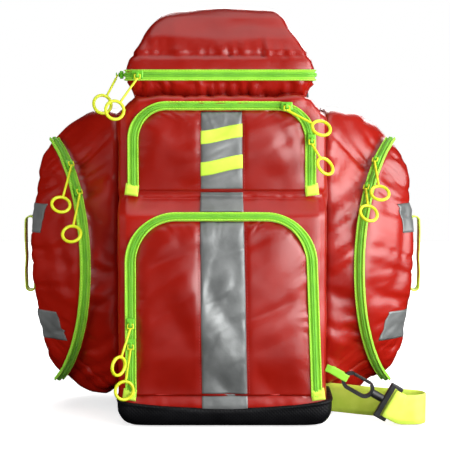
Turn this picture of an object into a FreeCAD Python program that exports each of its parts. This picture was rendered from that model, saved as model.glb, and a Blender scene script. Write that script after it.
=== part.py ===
"""Trauma backpack: a hooded two-compartment pack with zipped side pockets, in millimetres.

Frame: origin at the centre of the flat underside, +Z up, the zipped front faces -Y, +X is the
right side of someone who looks at the front. Each zip is closed. Each sub-part is one STEP file.
"""
import FreeCAD, Part
import math
import os

# ---- driving dimensions -------------------------------------------------------------------
HALF_WIDTH = 132.0            # centre column, half of its width
BACK_Y = 110.0                # rear face of the centre column
LOWER_FRONT_Y = -148.0        # front face of the lower compartment
UPPER_FRONT_Y = -130.0        # front face of the upper compartment
BOOT_TOP_Z = 24.0             # the moulded boot reaches up to here
STEP_Z = 290.0                # seam between the two compartments
NECK_Z = 416.0                # top of the centre column
WALL = 4.0                    # coated fabric with its foam lining
GAP = 0.5                     # clearance between pieces of different bodies

ZIP_REACH = 5.5               # the frame tape reaches this far inside the line of coils
TAPE_OUT = 9.0                # and this far outside it
TAPE_THICK = 2.0
DOOR_TAPE = 6.0               # width of the tape on the door's edge

LOWER_DOOR = dict(half=114.0, bottom=42.0, top=267.0, radius=48.0, face=LOWER_FRONT_Y)
UPPER_DOOR = dict(half=111.0, bottom=298.0, top=404.0, radius=40.0, face=UPPER_FRONT_Y)

HOOD_HALF = 122.0
HOOD_FRONT_Y = -112.0
HOOD_BACK_Y = 95.0
HOOD_CORNER = 14.0
HOOD_ZIP_Z = 443.0
HOOD_TOP_Z = 530.0

POCKET_RADIUS = 183.0         # arc of the side zip, in its own slanted plane
POCKET_CENTRE = (263.7, 65.0, 197.0)
POCKET_SLOPE = 0.55           # the zip's plane: x = POCKET_X + POCKET_SLOPE * y
POCKET_X = 228.0
POCKET_SIDE_X = 252.0         # widest point of the bag
POCKET_BACK_Y = 100.0
DOME_HEIGHT = 44.0            # bulge of the pocket's door
POCKET_ZIP_END_Y = -16.0      # the side zip stops here, at the top and at the bottom
RIM_WIDTH = 10.0              # the round band that carries the side zip

STRIPE_HALF = 25.4            # a two inch reflective tape
STRIPE_THICK = 0.8

RING_OUTER = 27.0             # finger ring of a zip pull
RING_WIRE = 4.0
BAIL_HEIGHT = 10.5            # pivot of the pull above the tape's face

STRAP_WIDTH = 38.0            # tether webbing
WEBBING = 2.0

PANEL_BACK_Y = 128.0          # rear face of the back panel
STRAP_X = 68.0                # centre of each shoulder strap
HANDLE_Z = 435.0              # pivot of the haul handle

# ---- shared helpers -----------------------------------------------------------------------
X_AXIS = FreeCAD.Vector(1, 0, 0)
Y_AXIS = FreeCAD.Vector(0, 1, 0)
Z_AXIS = FreeCAD.Vector(0, 0, 1)
ORIGIN = FreeCAD.Vector(0, 0, 0)


def vec(x, y, z):
    return FreeCAD.Vector(x, y, z)


def save(name, *solids):
    """Write one sub-part; several separate solids share a file as a compound."""
    shape = solids[0] if len(solids) == 1 else Part.makeCompound(list(solids))
    shape.exportStep("parts/" + name + ".step")


def box(x0, x1, y0, y1, z0, z1):
    return Part.makeBox(x1 - x0, y1 - y0, z1 - z0, vec(x0, y0, z0))


def rounded_box(x0, x1, y0, y1, z0, z1, radius):
    block = box(x0, x1, y0, y1, z0, z1)
    return block.makeFillet(radius, block.Edges)


def polygon_prism(points, sweep):
    face = Part.Face(Part.makePolygon(points + [points[0]]))
    return face.extrude(sweep)


def rounded_plan(half, y0, y1, radius, z0, z1):
    """An upright block with rounded vertical edges."""
    block = box(-half, half, y0, y1, z0, z1)
    upright = [e for e in block.Edges if abs(e.tangentAt(e.FirstParameter).z) > 0.9]
    return block.makeFillet(radius, upright)


def rod(start, end, radius):
    along = end - start
    return Part.makeCylinder(radius, along.Length, start, along)


def ribbon(edges, thickness, sweep):
    """Webbing that follows a flat path, thickened to one side and swept across its width."""
    path = Part.Wire(edges)
    face = path.makeOffset2D(thickness, 0, True, True)
    return face.extrude(sweep)


def line(start, end):
    return Part.LineSegment(start, end).toShape()


def arc(start, middle, end):
    return Part.Arc(start, middle, end).toShape()


def mirrored(shape):
    return shape.mirror(ORIGIN, X_AXIS)


# ---- centre column ------------------------------------------------------------------------
def arch(door, inset, y0, y1):
    """Upright door outline with two rounded top corners, swept from y0 to y1."""
    half = door["half"] - inset
    bottom = door["bottom"] + max(inset, 0)
    top = door["top"] - inset
    r = door["radius"] - inset
    k = r * (1 - math.sqrt(0.5))
    edges = [line(vec(-half, y0, bottom), vec(-half, y0, top - r)),
             arc(vec(-half, y0, top - r), vec(-half + k, y0, top - k), vec(-half + r, y0, top)),
             line(vec(-half + r, y0, top), vec(half - r, y0, top)),
             arc(vec(half - r, y0, top), vec(half - k, y0, top - k), vec(half, y0, top - r)),
             line(vec(half, y0, top - r), vec(half, y0, bottom)),
             line(vec(half, y0, bottom), vec(-half, y0, bottom))]
    return Part.Face(Part.Wire(edges)).extrude(vec(0, y1 - y0, 0))


def column_profile(inset, z_bottom, z_top, x_half):
    """Side profile of the centre column: a deeper lower half, then a sloping step."""
    slope_foot = STEP_Z - 22.0
    points = [(BACK_Y - inset, z_bottom), (LOWER_FRONT_Y + inset, z_bottom)]
    if z_bottom < slope_foot:
        points.append((LOWER_FRONT_Y + inset, slope_foot))
    else:
        points[1] = (UPPER_FRONT_Y + inset, z_bottom)
    if z_bottom < STEP_Z <= z_top:
        points.append((UPPER_FRONT_Y + inset, STEP_Z))
    points.append((UPPER_FRONT_Y + inset, z_top))
    points.append((BACK_Y - inset, z_top))
    outline = [vec(-x_half, y, z) for y, z in points]
    return polygon_prism(outline, vec(2 * x_half, 0, 0))


def door_opening(door):
    return arch(door, ZIP_REACH, door["face"] - 10, door["face"] + 2 * WALL)


def main_shell():
    outer = column_profile(0, BOOT_TOP_Z, NECK_Z, HALF_WIDTH)
    outer = outer.common(rounded_plan(HALF_WIDTH, LOWER_FRONT_Y, BACK_Y, 22, 0, NECK_Z))
    lower = column_profile(WALL, BOOT_TOP_Z + WALL, STEP_Z - 4, HALF_WIDTH - WALL)
    upper = column_profile(WALL, STEP_Z + 4, NECK_Z - WALL, HALF_WIDTH - WALL)
    core = rounded_plan(HALF_WIDTH - WALL, LOWER_FRONT_Y + WALL, BACK_Y - WALL, 18, 0, NECK_Z)
    hollow = lower.fuse(upper).common(core)
    return outer.cut([hollow, door_opening(LOWER_DOOR), door_opening(UPPER_DOOR)])


def front_tape(door):
    """Tape sewn round the opening, with the closed coils standing on it."""
    face = door["face"]
    tape = arch(door, -TAPE_OUT, face - TAPE_THICK, face)
    tape = tape.cut(arch(door, ZIP_REACH, face - 10, face + 10))
    coils = arch(door, -2.5, face - TAPE_THICK - 1.2, face - TAPE_THICK)
    coils = coils.cut(arch(door, 2.5, face - 10, face + 10))
    below = box(-200, 200, face - 20, face + 20, 0, door["bottom"] + ZIP_REACH)
    return tape.fuse(coils).cut(below)


def front_door(door):
    face = door["face"]
    return arch(door, ZIP_REACH + GAP, face, face + WALL)


def door_tape(door):
    face = door["face"]
    outer = arch(door, ZIP_REACH + GAP, face - TAPE_THICK, face)
    inner = arch(door, ZIP_REACH + GAP + DOOR_TAPE, face - 10, face + 10)
    below = box(-200, 200, face - 20, face + 20, 0, door["bottom"] + ZIP_REACH + DOOR_TAPE + GAP)
    return outer.cut([inner, below])


def door_stripe(door):
    top = door["top"] - ZIP_REACH - DOOR_TAPE - 3 * GAP
    bottom = door["bottom"] + ZIP_REACH + 2 * GAP
    face = door["face"]
    return box(-STRIPE_HALF, STRIPE_HALF, face - STRIPE_THICK, face, bottom, top)


def end_tabs(door):
    """Folded fabric tabs that close the two bottom ends of a front zip."""
    face = door["face"]
    tabs = []
    for side in (-1, 1):
        middle = side * (door["half"] + 2)
        tabs.append(rounded_box(middle - 7, middle + 7, face - 3.2, face - 0.2,
                                door["bottom"] - 6, door["bottom"] + ZIP_REACH - 0.2, 1.0))
    return tabs


def middle_stripe():
    """Reflective tape over the sloping step between the two doors."""
    low = LOWER_DOOR["top"] + TAPE_OUT + 1
    high = UPPER_DOOR["bottom"] - 1
    grown = column_profile(-STRIPE_THICK, BOOT_TOP_Z, NECK_Z, STRIPE_HALF)
    slab = grown.cut(column_profile(0, BOOT_TOP_Z - 1, NECK_Z + 1, HALF_WIDTH))
    return slab.common(box(-STRIPE_HALF, STRIPE_HALF, LOWER_FRONT_Y - 10, 0, low, high))


def compartment_divider():
    """Padded shelf that the upper compartment's load rests on."""
    return rounded_plan(HALF_WIDTH - WALL - 2, UPPER_FRONT_Y + WALL + 12, BACK_Y - WALL - 2, 22,
                        STEP_Z + 4.2, STEP_Z + 9)


def base_boot():
    """Moulded rubber boot under the column, flat below with rounded edges."""
    block = box(-HALF_WIDTH, HALF_WIDTH, LOWER_FRONT_Y + 4, BACK_Y, 0, BOOT_TOP_Z - 0.1)
    upright = [e for e in block.Edges if abs(e.tangentAt(e.FirstParameter).z) > 0.9]
    block = block.makeFillet(24, upright)
    foot = [e for e in block.Edges if e.BoundBox.ZMax < 0.01]
    return block.makeFillet(11, foot)


def back_panel():
    """Foam panel against the wearer's back."""
    return rounded_box(-122, 122, BACK_Y + 2.4, PANEL_BACK_Y, 30, 440, 7)


# ---- hood ---------------------------------------------------------------------------------
def hood_block(inset, z0, z1):
    return rounded_plan(HOOD_HALF - inset, HOOD_FRONT_Y + inset, HOOD_BACK_Y - inset,
                        HOOD_CORNER - min(inset, 6), z0, z1)


def hood_tray():
    rim = HOOD_ZIP_Z + ZIP_REACH
    outer = hood_block(0, NECK_Z + 0.2, rim)
    return outer.cut(hood_block(WALL, NECK_Z + WALL, rim + 5))


def hood_form(inset):
    """Hood lid: a block that its front, back and both sides slope in to a flat top."""
    top = HOOD_TOP_Z - inset
    base = HOOD_ZIP_Z + ZIP_REACH + GAP
    half = HOOD_HALF - inset
    front = [vec(-half, -200, base), vec(half, -200, base), vec(100 - inset, -200, 490),
             vec(76 - inset, -200, top), vec(-76 + inset, -200, top), vec(-100 + inset, -200, 490)]
    side = [vec(-200, HOOD_FRONT_Y + inset, base), vec(-200, HOOD_BACK_Y - inset, base),
            vec(-200, HOOD_BACK_Y - 4 - inset, top), vec(-200, -60 + inset, top),
            vec(-200, HOOD_FRONT_Y + 14 + inset, 490)]
    form = polygon_prism(front, vec(0, 400, 0)).common(polygon_prism(side, vec(400, 0, 0)))
    return form.common(hood_block(inset, base, top))


def hood_lid():
    return hood_form(0).cut(hood_form(WALL))


def hood_band(z0, z1, out0, out1):
    """A band round the front and both sides of the hood, out0 to out1 mm clear of its wall."""
    ring = hood_block(-out1, z0, z1).cut(hood_block(-out0, z0 - 1, z1 + 1))
    return ring.common(box(-200, 200, -200, HOOD_BACK_Y - 30, z0, z1))


def hood_lower_tape():
    tape = hood_band(HOOD_ZIP_Z - TAPE_OUT, HOOD_ZIP_Z + ZIP_REACH, 0, TAPE_THICK)
    coils = hood_band(HOOD_ZIP_Z - 2.5, HOOD_ZIP_Z + 2.5, TAPE_THICK, TAPE_THICK + 1.2)
    return tape.fuse(coils)


def hood_lid_tape():
    rim = HOOD_ZIP_Z + ZIP_REACH + GAP
    tape = hood_band(rim, rim + DOOR_TAPE, 0, TAPE_THICK)
    return tape


# ---- side pockets (right side; the left one is its mirror image) ----------------------------
PLANE_LENGTH = math.hypot(1, POCKET_SLOPE)
OUTWARD = vec(1 / PLANE_LENGTH, -POCKET_SLOPE / PLANE_LENGTH, 0)
FORWARD = vec(-POCKET_SLOPE / PLANE_LENGTH, -1 / PLANE_LENGTH, 0)
PLANE_HEADING = math.degrees(math.atan(POCKET_SLOPE))


def outboard_of(offset):
    """Everything beyond the zip's plane, offset mm outward of it."""
    start = vec(POCKET_X, 0, -100) + OUTWARD * offset + FORWARD * 400
    block = Part.makeBox(400, 900, 800)
    block.rotate(ORIGIN, Z_AXIS, -PLANE_HEADING)
    block.translate(start)
    return block


def pocket_outline(inset):
    """Front silhouette of the pocket: shoulder, flank and rounded foot."""
    inner = HALF_WIDTH + 0.5 + inset
    y = -200
    edges = [line(vec(inner, y, 12 + inset), vec(inner, y, 396 - inset)),
             line(vec(inner, y, 396 - inset), vec(150, y, 396 - inset)),
             arc(vec(150, y, 396 - inset), vec(213 - inset, y, 372 - inset),
                 vec(238 - inset, y, 338)),
             arc(vec(238 - inset, y, 338), vec(POCKET_SIDE_X - inset, y, 226),
                 vec(240 - inset, y, 108)),
             arc(vec(240 - inset, y, 108), vec(218 - inset, y, 48 + inset),
                 vec(165, y, 12 + inset)),
             line(vec(165, y, 12 + inset), vec(inner, y, 12 + inset))]
    return Part.Face(Part.Wire(edges)).extrude(vec(0, 200 + POCKET_BACK_Y - inset, 0))


def pocket_axis_point(offset):
    return vec(*POCKET_CENTRE) + OUTWARD * offset


def pocket_rim(grow, inner, outer):
    """The round band that carries the zip, between two offsets from the zip's plane."""
    return Part.makeCylinder(POCKET_RADIUS + grow, outer - inner, pocket_axis_point(inner), OUTWARD)


def pocket_drum(grow):
    """The pocket's front and top wall: the band's inner edge swept straight along X."""
    spot = pocket_axis_point(-RIM_WIDTH)
    centre = vec(0, spot.y, spot.z)
    tall = POCKET_RADIUS + grow
    deep = POCKET_RADIUS / PLANE_LENGTH + grow
    ellipse = Part.Ellipse(centre + Z_AXIS * tall, centre + Y_AXIS * deep, centre)
    face = Part.Face(Part.Wire([ellipse.toShape()]))
    return face.extrude(vec(400, 0, 0)).cut(outboard_of(-RIM_WIDTH))


def pocket_form(inset):
    """Drum and rim band together, trimmed by the pocket's silhouette."""
    rim = pocket_rim(-inset, -RIM_WIDTH, ZIP_REACH)
    return pocket_drum(-inset).fuse(rim).common(pocket_outline(inset))


def pocket_shell():
    return pocket_form(0).cut(pocket_form(WALL))


DOME_RADIUS = (POCKET_RADIUS ** 2 + DOME_HEIGHT ** 2) / (2 * DOME_HEIGHT)


def pocket_dome(grow):
    rise = ZIP_REACH + GAP + DOME_HEIGHT
    return Part.makeSphere(DOME_RADIUS + grow, pocket_axis_point(rise - DOME_RADIUS))


def pocket_door():
    rim = outboard_of(ZIP_REACH + GAP)
    outer = pocket_dome(0).common(pocket_outline(0)).common(rim)
    inner = pocket_dome(-WALL).common(pocket_outline(WALL))
    return outer.cut(inner)


def zip_span():
    """The stretch of the side zip that carries coils."""
    return box(0, 400, -200, POCKET_ZIP_END_Y, 0, 500)


def side_frame_tape():
    tape = pocket_rim(TAPE_THICK, -TAPE_OUT, ZIP_REACH).cut(pocket_rim(0, -TAPE_OUT - 1, ZIP_REACH + 1))
    coil_top = TAPE_THICK + 1.2
    coils = pocket_rim(coil_top, -2.5, 2.5).cut(pocket_rim(TAPE_THICK, -4, 4))
    return tape.fuse(coils).common(zip_span())


def side_door_tape():
    band = outboard_of(ZIP_REACH + GAP).cut(outboard_of(ZIP_REACH + GAP + DOOR_TAPE))
    tape = pocket_dome(TAPE_THICK - 0.5).cut(pocket_dome(0)).common(band).common(zip_span())
    return tape.common(pocket_rim(0, 0, 60))


def side_patches():
    """Two reflective patches sewn flat on the pocket door's flank."""
    skin = pocket_outline(-STRIPE_THICK).cut(pocket_outline(0)).common(pocket_dome(0))
    skin = skin.common(outboard_of(ZIP_REACH + GAP + DOOR_TAPE))
    upper = skin.common(box(200, 300, -40, 20, 238, 276))
    lower = skin.common(box(200, 300, -40, 20, 98, 136))
    return [upper.Solids[0], lower.Solids[0]]


def side_handle():
    """A webbing loop that stands off the flank of the door, sewn down at both ends."""
    root = POCKET_SIDE_X + 0.4
    crown = POCKET_SIDE_X + 14
    y = 2.0
    edges = [line(vec(root, y, 256), vec(crown - 5, y, 256)),
             arc(vec(crown - 5, y, 256), vec(crown - 1.5, y, 254.5), vec(crown, y, 251)),
             line(vec(crown, y, 251), vec(crown, y, 159)),
             arc(vec(crown, y, 159), vec(crown - 1.5, y, 155.5), vec(crown - 5, y, 154)),
             line(vec(crown - 5, y, 154), vec(root, y, 154))]
    return ribbon(edges, -WEBBING, vec(0, 24, 0))


# ---- zip sliders and pulls ------------------------------------------------------------------
def place(shape, lift, heading, spot):
    """Turn a piece modelled facing -Y: tip it up by lift, then turn it about Z, then move it."""
    shape.rotate(ORIGIN, X_AXIS, -lift)
    shape.rotate(ORIGIN, Z_AXIS, heading)
    shape.translate(spot)
    return shape


def slider(turn, lift, heading, spot):
    """Slider body along its track, under an upright bail that the pull hangs from."""
    back = -TAPE_THICK - 1.2 - 0.3
    body = rounded_box(-5, 5, back - 4, back, -7, 7, 1.2)
    body.rotate(ORIGIN, Y_AXIS, turn)
    bail = rounded_box(-1.5, 1.5, -BAIL_HEIGHT - 2.3, back - 2, -2.8, 2.8, 0.6)
    hole = box(-3, 3, -BAIL_HEIGHT - 1.1, -BAIL_HEIGHT + 1.1, -3, 3)
    return place(body.fuse(bail).cut(hole), lift, heading, spot)


def bail_point(lift, heading, spot):
    pivot = Part.Vertex(0, -BAIL_HEIGHT, 0)
    return place(pivot, lift, heading, spot).Point


def pull(pivot, heading, ring_centre, facing):
    """Wire link through the bail, a cord sleeve and a moulded finger ring."""
    across = vec(math.cos(math.radians(heading)), math.sin(math.radians(heading)), 0)
    lean = ring_centre - pivot
    drop = lean - across * lean.dot(across)
    drop.normalize()
    side = across * 3.4
    foot = pivot + drop * 5.2
    stem = ring_centre - foot
    stem.normalize()
    facing = facing - stem * facing.dot(stem)
    mean = (RING_OUTER - RING_WIRE) / 2
    ring = Part.makeTorus(mean, RING_WIRE / 2, ring_centre, facing)
    sleeve = rod(foot, ring_centre - stem * mean, 1.5)
    corners = [pivot - side, pivot + side, foot + side, foot - side]
    wire = 0.8
    link = [rod(a, b, wire) for a, b in zip(corners, corners[1:] + corners[:1])]
    link += [Part.makeSphere(wire, corner) for corner in corners]
    return link[0].fuse(link[1:]).fuse(sleeve).fuse(ring)


def side_spot(angle, mirror):
    """Point on the side zip's line at an angle above the arc's centre, on the tape's face."""
    t = POCKET_RADIUS * math.cos(math.radians(angle))
    z = POCKET_CENTRE[2] + POCKET_RADIUS * math.sin(math.radians(angle))
    centre = vec(POCKET_CENTRE[0], POCKET_CENTRE[1], 0)
    spot = centre + FORWARD * t
    return vec(mirror * spot.x, spot.y, z)


# name: (turn of the track, lift, heading, point on the zip's line, ring centre, ring's facing)
SIDE_HEADING = -PLANE_HEADING
SLIDERS = {
    "hood_first": (90, 0, 0, vec(-106, HOOD_FRONT_Y, HOOD_ZIP_Z),
                   vec(-133, -141, 399), vec(0.2, -1, 0)),
    "hood_second": (90, 0, -90, vec(-HOOD_HALF, -92, HOOD_ZIP_Z),
                    vec(-151, -106, 406), vec(0.35, -1, 0.1)),
    "upper_first": (90, 0, 0, vec(80, UPPER_FRONT_Y, UPPER_DOOR["top"]),
                    vec(122, -150, 377), vec(0.5, -0.6, 0.3)),
    "upper_second": (0, 0, 0, vec(UPPER_DOOR["half"], UPPER_FRONT_Y, 362),
                     vec(127, -151, 330), vec(0.7, -0.7, 0.1)),
    "lower_first": (0, 0, 0, vec(-LOWER_DOOR["half"], LOWER_FRONT_Y, 134),
                    vec(-128, -172, 84), vec(0.8, -0.6, 0)),
    "lower_second": (0, 0, 0, vec(-LOWER_DOOR["half"], LOWER_FRONT_Y, 108),
                     vec(-122, -160, 51), vec(0.35, -1, 0)),
    "left_side_first": (0, 44, -SIDE_HEADING, side_spot(44, -1),
                        vec(-205, -102, 279), vec(0.1, -1, 0.15)),
    "left_side_second": (0, 31, -SIDE_HEADING, side_spot(31, -1),
                         vec(-190, -118, 243), vec(-0.1, -1, 0.1)),
    "right_side_first": (0, 46, SIDE_HEADING, side_spot(46, 1),
                         vec(201, -93, 293), vec(0.1, -1, 0.15)),
    "right_side_second": (0, 33, SIDE_HEADING, side_spot(33, 1),
                          vec(186, -102, 268), vec(0.3, -1, 0.1)),
}

# ---- tether: tab, snap hook and webbing -----------------------------------------------------
HOOK_TILT = 30.0                       # the hook hangs this much below the horizontal
HOOK_POST = vec(202, -136, 36)         # swivel joint between the hook and its eye
PIN_RADIUS = 2.45


def tilted(shape):
    shape.rotate(ORIGIN, Y_AXIS, HOOK_TILT)
    shape.translate(HOOK_POST)
    return shape


def stadium(x0, x1, half, y_half):
    middle = box(x0 + half, x1 - half, -y_half, y_half, -half, half)
    ends = [Part.makeCylinder(half, 2 * y_half, vec(x, -y_half, 0), Y_AXIS)
            for x in (x0 + half, x1 - half)]
    return middle.fuse(ends)


def hook_body():
    """Snap hook: a closed loop whose upper bar is a sprung gate, and a round neck."""
    loop = stadium(-58, -14, 12, 3).cut(stadium(-53.5, -18.5, 7.5, 4))
    mouth = box(-48, -22, -4, 4, 5, 13)
    neck = Part.makeCylinder(5, 15, vec(-15.5, 0, 0), X_AXIS)
    pin = Part.makeCylinder(PIN_RADIUS, 6, vec(-0.5, 0, 0), X_AXIS)
    return tilted(loop.cut(mouth).fuse([neck, pin]))


def hook_gate():
    return tilted(rounded_box(-47.6, -22.9, -2.4, 2.4, 7.8, 11.6, 0.8))


def hook_eye():
    """Rectangular eye for 38 mm webbing, turning on the hook's pin."""
    frame = rounded_box(0, 17, -3.5, 3.5, -24, 24, 1.5)
    slot = box(7, 12.5, -4, 4, -STRAP_WIDTH / 2 - 0.8, STRAP_WIDTH / 2 + 0.8)
    bore = Part.makeCylinder(PIN_RADIUS + 0.05, 7, vec(-0.5, 0, 0), X_AXIS)
    return tilted(frame.cut([slot, bore]))


def hook_tab():
    """Narrow webbing sewn to the column's edge, looped through the far end of the hook."""
    turn_x = -55.8
    half = 4.0
    edges = [line(vec(-80.5, -5, -half), vec(turn_x, -5, -half)),
             arc(vec(turn_x, -5, -half), vec(turn_x + 5, 0, -half), vec(turn_x, 5, -half)),
             line(vec(turn_x, 5, -half), vec(-78, 5, -half))]
    return tilted(ribbon(edges, 1.4, vec(0, 0, 2 * half)))


def tether_strap():
    """Webbing on edge: from the hook's eye out to the right, round, and back to the boot."""
    z0 = 3.0
    turn_in = vec(243, -137.5, z0)
    turn_out = vec(246, -104, z0)
    edges = [line(vec(229.5, -136.5, z0), turn_in),
             arc(turn_in, vec(259.5, -121, z0), turn_out),
             line(turn_out, vec(HALF_WIDTH + 1, -52, z0))]
    return ribbon(edges, WEBBING, vec(0, 0, STRAP_WIDTH))


# ---- back: harness and haul handle ----------------------------------------------------------


def shoulder_strap():
    """Padded strap that bows out behind the back panel and leaves room for an arm."""
    near = [vec(STRAP_X - 32, PANEL_BACK_Y + 0.1, 418), vec(STRAP_X - 32, 176, 300),
            vec(STRAP_X - 32, 150, 150)]
    far = [vec(STRAP_X - 32, 164, 150), vec(STRAP_X - 32, 190, 302),
           vec(STRAP_X - 32, PANEL_BACK_Y + 0.1, 434)]
    edges = [arc(*near), line(near[2], far[0]), arc(*far), line(far[2], near[0])]
    return Part.Face(Part.Wire(edges)).extrude(vec(64, 0, 0))


def ladder_lock():
    lock = rounded_box(STRAP_X - 20, STRAP_X + 20, 152, 160, 126, 149.7, 2)
    slots = [box(STRAP_X - 13.5, STRAP_X + 13.5, 140, 170, z, z + 5) for z in (131, 140)]
    return lock.cut(slots)


def strap_tail():
    edges = [line(vec(STRAP_X - 12.5, 155, 125.8), vec(STRAP_X - 12.5, PANEL_BACK_Y + 4, 46))]
    tail = Part.Wire(edges + [line(edges[0].Vertexes[1].Point,
                                   vec(STRAP_X - 12.5, PANEL_BACK_Y + 0.2, 38))])
    return tail.makeOffset2D(-WEBBING, 0, True, True).extrude(vec(25, 0, 0))


def haul_handle():
    """Padded grip on a webbing loop, folded down behind the hood between the straps."""
    half = 27.0
    corner = 9.0
    k = corner * (1 - math.sqrt(0.5))
    low = -36.0
    edges = [line(vec(-half, 0, 0), vec(-half, 0, low + corner)),
             arc(vec(-half, 0, low + corner), vec(-half + k, 0, low + k), vec(-half + corner, 0, low)),
             line(vec(-half + corner, 0, low), vec(half - corner, 0, low)),
             arc(vec(half - corner, 0, low), vec(half - k, 0, low + k), vec(half, 0, low + corner)),
             line(vec(half, 0, low + corner), vec(half, 0, 0))]
    loop = ribbon(edges, -3, vec(0, 12, 0))
    grip = Part.makeCylinder(7.5, 34, vec(-17, 6, low + 1.5), X_AXIS)
    handle = loop.fuse(grip)
    handle.translate(vec(0, PANEL_BACK_Y + 3, HANDLE_Z))
    return handle


def haul_anchor():
    """Stitched strip that holds the two ends of the haul handle."""
    return rounded_box(-34, 34, PANEL_BACK_Y + 0.1, PANEL_BACK_Y + 2.5, HANDLE_Z - 10, HANDLE_Z + 2, 1)


# ---- write every sub-part -------------------------------------------------------------------
os.makedirs("parts", exist_ok=True)

save("main_shell", main_shell())
save("base_boot", base_boot())
save("compartment_divider", compartment_divider())
save("frame_sheet", box(-112, 112, BACK_Y + 0.2, BACK_Y + 2.2, 40, 400))
save("back_panel", back_panel())
save("shoulder_straps", shoulder_strap(), mirrored(shoulder_strap()))
save("strap_tails", strap_tail(), mirrored(strap_tail()))
save("ladder_locks", ladder_lock(), mirrored(ladder_lock()))
save("haul_handle", haul_handle())
save("haul_anchor", haul_anchor())

save("front_zip_frame_tapes", front_tape(UPPER_DOOR), front_tape(LOWER_DOOR))
save("zip_end_tabs", *end_tabs(UPPER_DOOR), *end_tabs(LOWER_DOOR))
save("middle_stripe", middle_stripe())
for name, door in (("upper", UPPER_DOOR), ("lower", LOWER_DOOR)):
    save(name + "_door", front_door(door))
    save(name + "_door_tape", door_tape(door))
    save(name + "_door_stripe", door_stripe(door))

save("hood_tray", hood_tray())
save("hood_lid", hood_lid())
save("hood_tray_tape", hood_lower_tape())
save("hood_lid_tape", hood_lid_tape())

save("side_zip_frame_tapes", side_frame_tape(), mirrored(side_frame_tape()))
for name, turned in (("right", lambda shape: shape), ("left", mirrored)):
    save(name + "_pocket_shell", turned(pocket_shell()))
    save(name + "_pocket_door", turned(pocket_door()))
    save(name + "_pocket_door_tape", turned(side_door_tape()))
    save(name + "_pocket_patches", *[turned(patch) for patch in side_patches()])
    save(name + "_side_handle", turned(side_handle()))

for name, (turn, lift, heading, spot, ring_centre, facing) in SLIDERS.items():
    save(name + "_slider", slider(turn, lift, heading, spot))
    save(name + "_pull", pull(bail_point(lift, heading, spot), heading, ring_centre, facing))

save("hook_tab", hook_tab())
save("hook_body", hook_body())
save("hook_gate", hook_gate())
save("hook_eye", hook_eye())
save("tether_strap", tether_strap())
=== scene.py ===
"""Trauma backpack: sewn coated-fabric forms, zips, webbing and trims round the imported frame.

Shapes are worked out in millimetres in the frame of the CAD model and scaled to metres when a
mesh is made. Fabric forms are round solids found by marching out from a centre, then shaped by
seams, gathers and folds.
"""
import bpy
import bmesh
import math
import numpy as np
from contextlib import contextmanager
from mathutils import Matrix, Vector
from mathutils.bvhtree import BVHTree


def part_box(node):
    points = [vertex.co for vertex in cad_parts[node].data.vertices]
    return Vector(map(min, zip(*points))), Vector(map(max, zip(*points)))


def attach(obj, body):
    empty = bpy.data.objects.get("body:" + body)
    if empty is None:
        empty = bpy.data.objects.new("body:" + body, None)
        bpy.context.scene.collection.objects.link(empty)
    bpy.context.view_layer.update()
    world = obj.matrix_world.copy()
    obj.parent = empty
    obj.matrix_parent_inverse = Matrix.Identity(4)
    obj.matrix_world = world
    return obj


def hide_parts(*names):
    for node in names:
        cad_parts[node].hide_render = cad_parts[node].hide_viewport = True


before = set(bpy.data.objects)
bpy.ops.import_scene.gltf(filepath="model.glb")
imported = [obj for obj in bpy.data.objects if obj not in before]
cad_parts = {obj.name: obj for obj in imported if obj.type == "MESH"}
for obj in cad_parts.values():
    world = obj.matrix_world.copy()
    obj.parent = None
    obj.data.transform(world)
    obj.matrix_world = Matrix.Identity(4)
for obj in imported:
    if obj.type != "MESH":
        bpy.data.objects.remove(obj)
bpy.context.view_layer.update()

MM = 0.001


def mm_box(node):
    low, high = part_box(node)
    return np.array(low) / MM, np.array(high) / MM


# ---- camera, light and floor ----------------------------------------------------------------
CAMERA_DISTANCE, CAMERA_TILT = 2.0, math.radians(5.0)
CAMERA_TARGET = Vector((0.0034, 0.0, 0.244))
FLOOR_RADIUS, FLOOR_SIDES = 2.3, 64
FLOOR_GLOW = (0.4, 0.9, 0.62, 1.0)      # glow of 0.62 up to 0.4 m from the middle, 1.0 from 0.9 m
BAG_MIDDLE = (0, -0.05, 0.26)


def add(name, data):
    """Put a new object into the scene."""
    item = bpy.data.objects.new(name, data)
    bpy.context.collection.objects.link(item)
    return item


def circle(count):
    """Angles of points evenly round a circle."""
    return np.linspace(0, 2 * math.pi, count + 1)[:-1]


def make_camera():
    back = Vector((0, -math.cos(CAMERA_TILT), math.sin(CAMERA_TILT)))
    camera = add("camera", bpy.data.cameras.new("camera"))
    camera.data.lens = 119.4
    camera.data.sensor_width = 36.0
    camera.location = CAMERA_TARGET + back * CAMERA_DISTANCE
    camera.rotation_euler = (-back).to_track_quat("-Z", "Y").to_euler()
    bpy.context.scene.camera = camera


def area_light(name, place, aim, size, power):
    data = bpy.data.lights.new(name, "AREA")
    data.shape = "RECTANGLE"
    data.size, data.size_y = size
    data.energy = power
    lamp = add(name, data)
    lamp.location = place
    lamp.rotation_euler = (Vector(aim) - Vector(place)).to_track_quat("-Z", "Y").to_euler()
    return lamp


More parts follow.
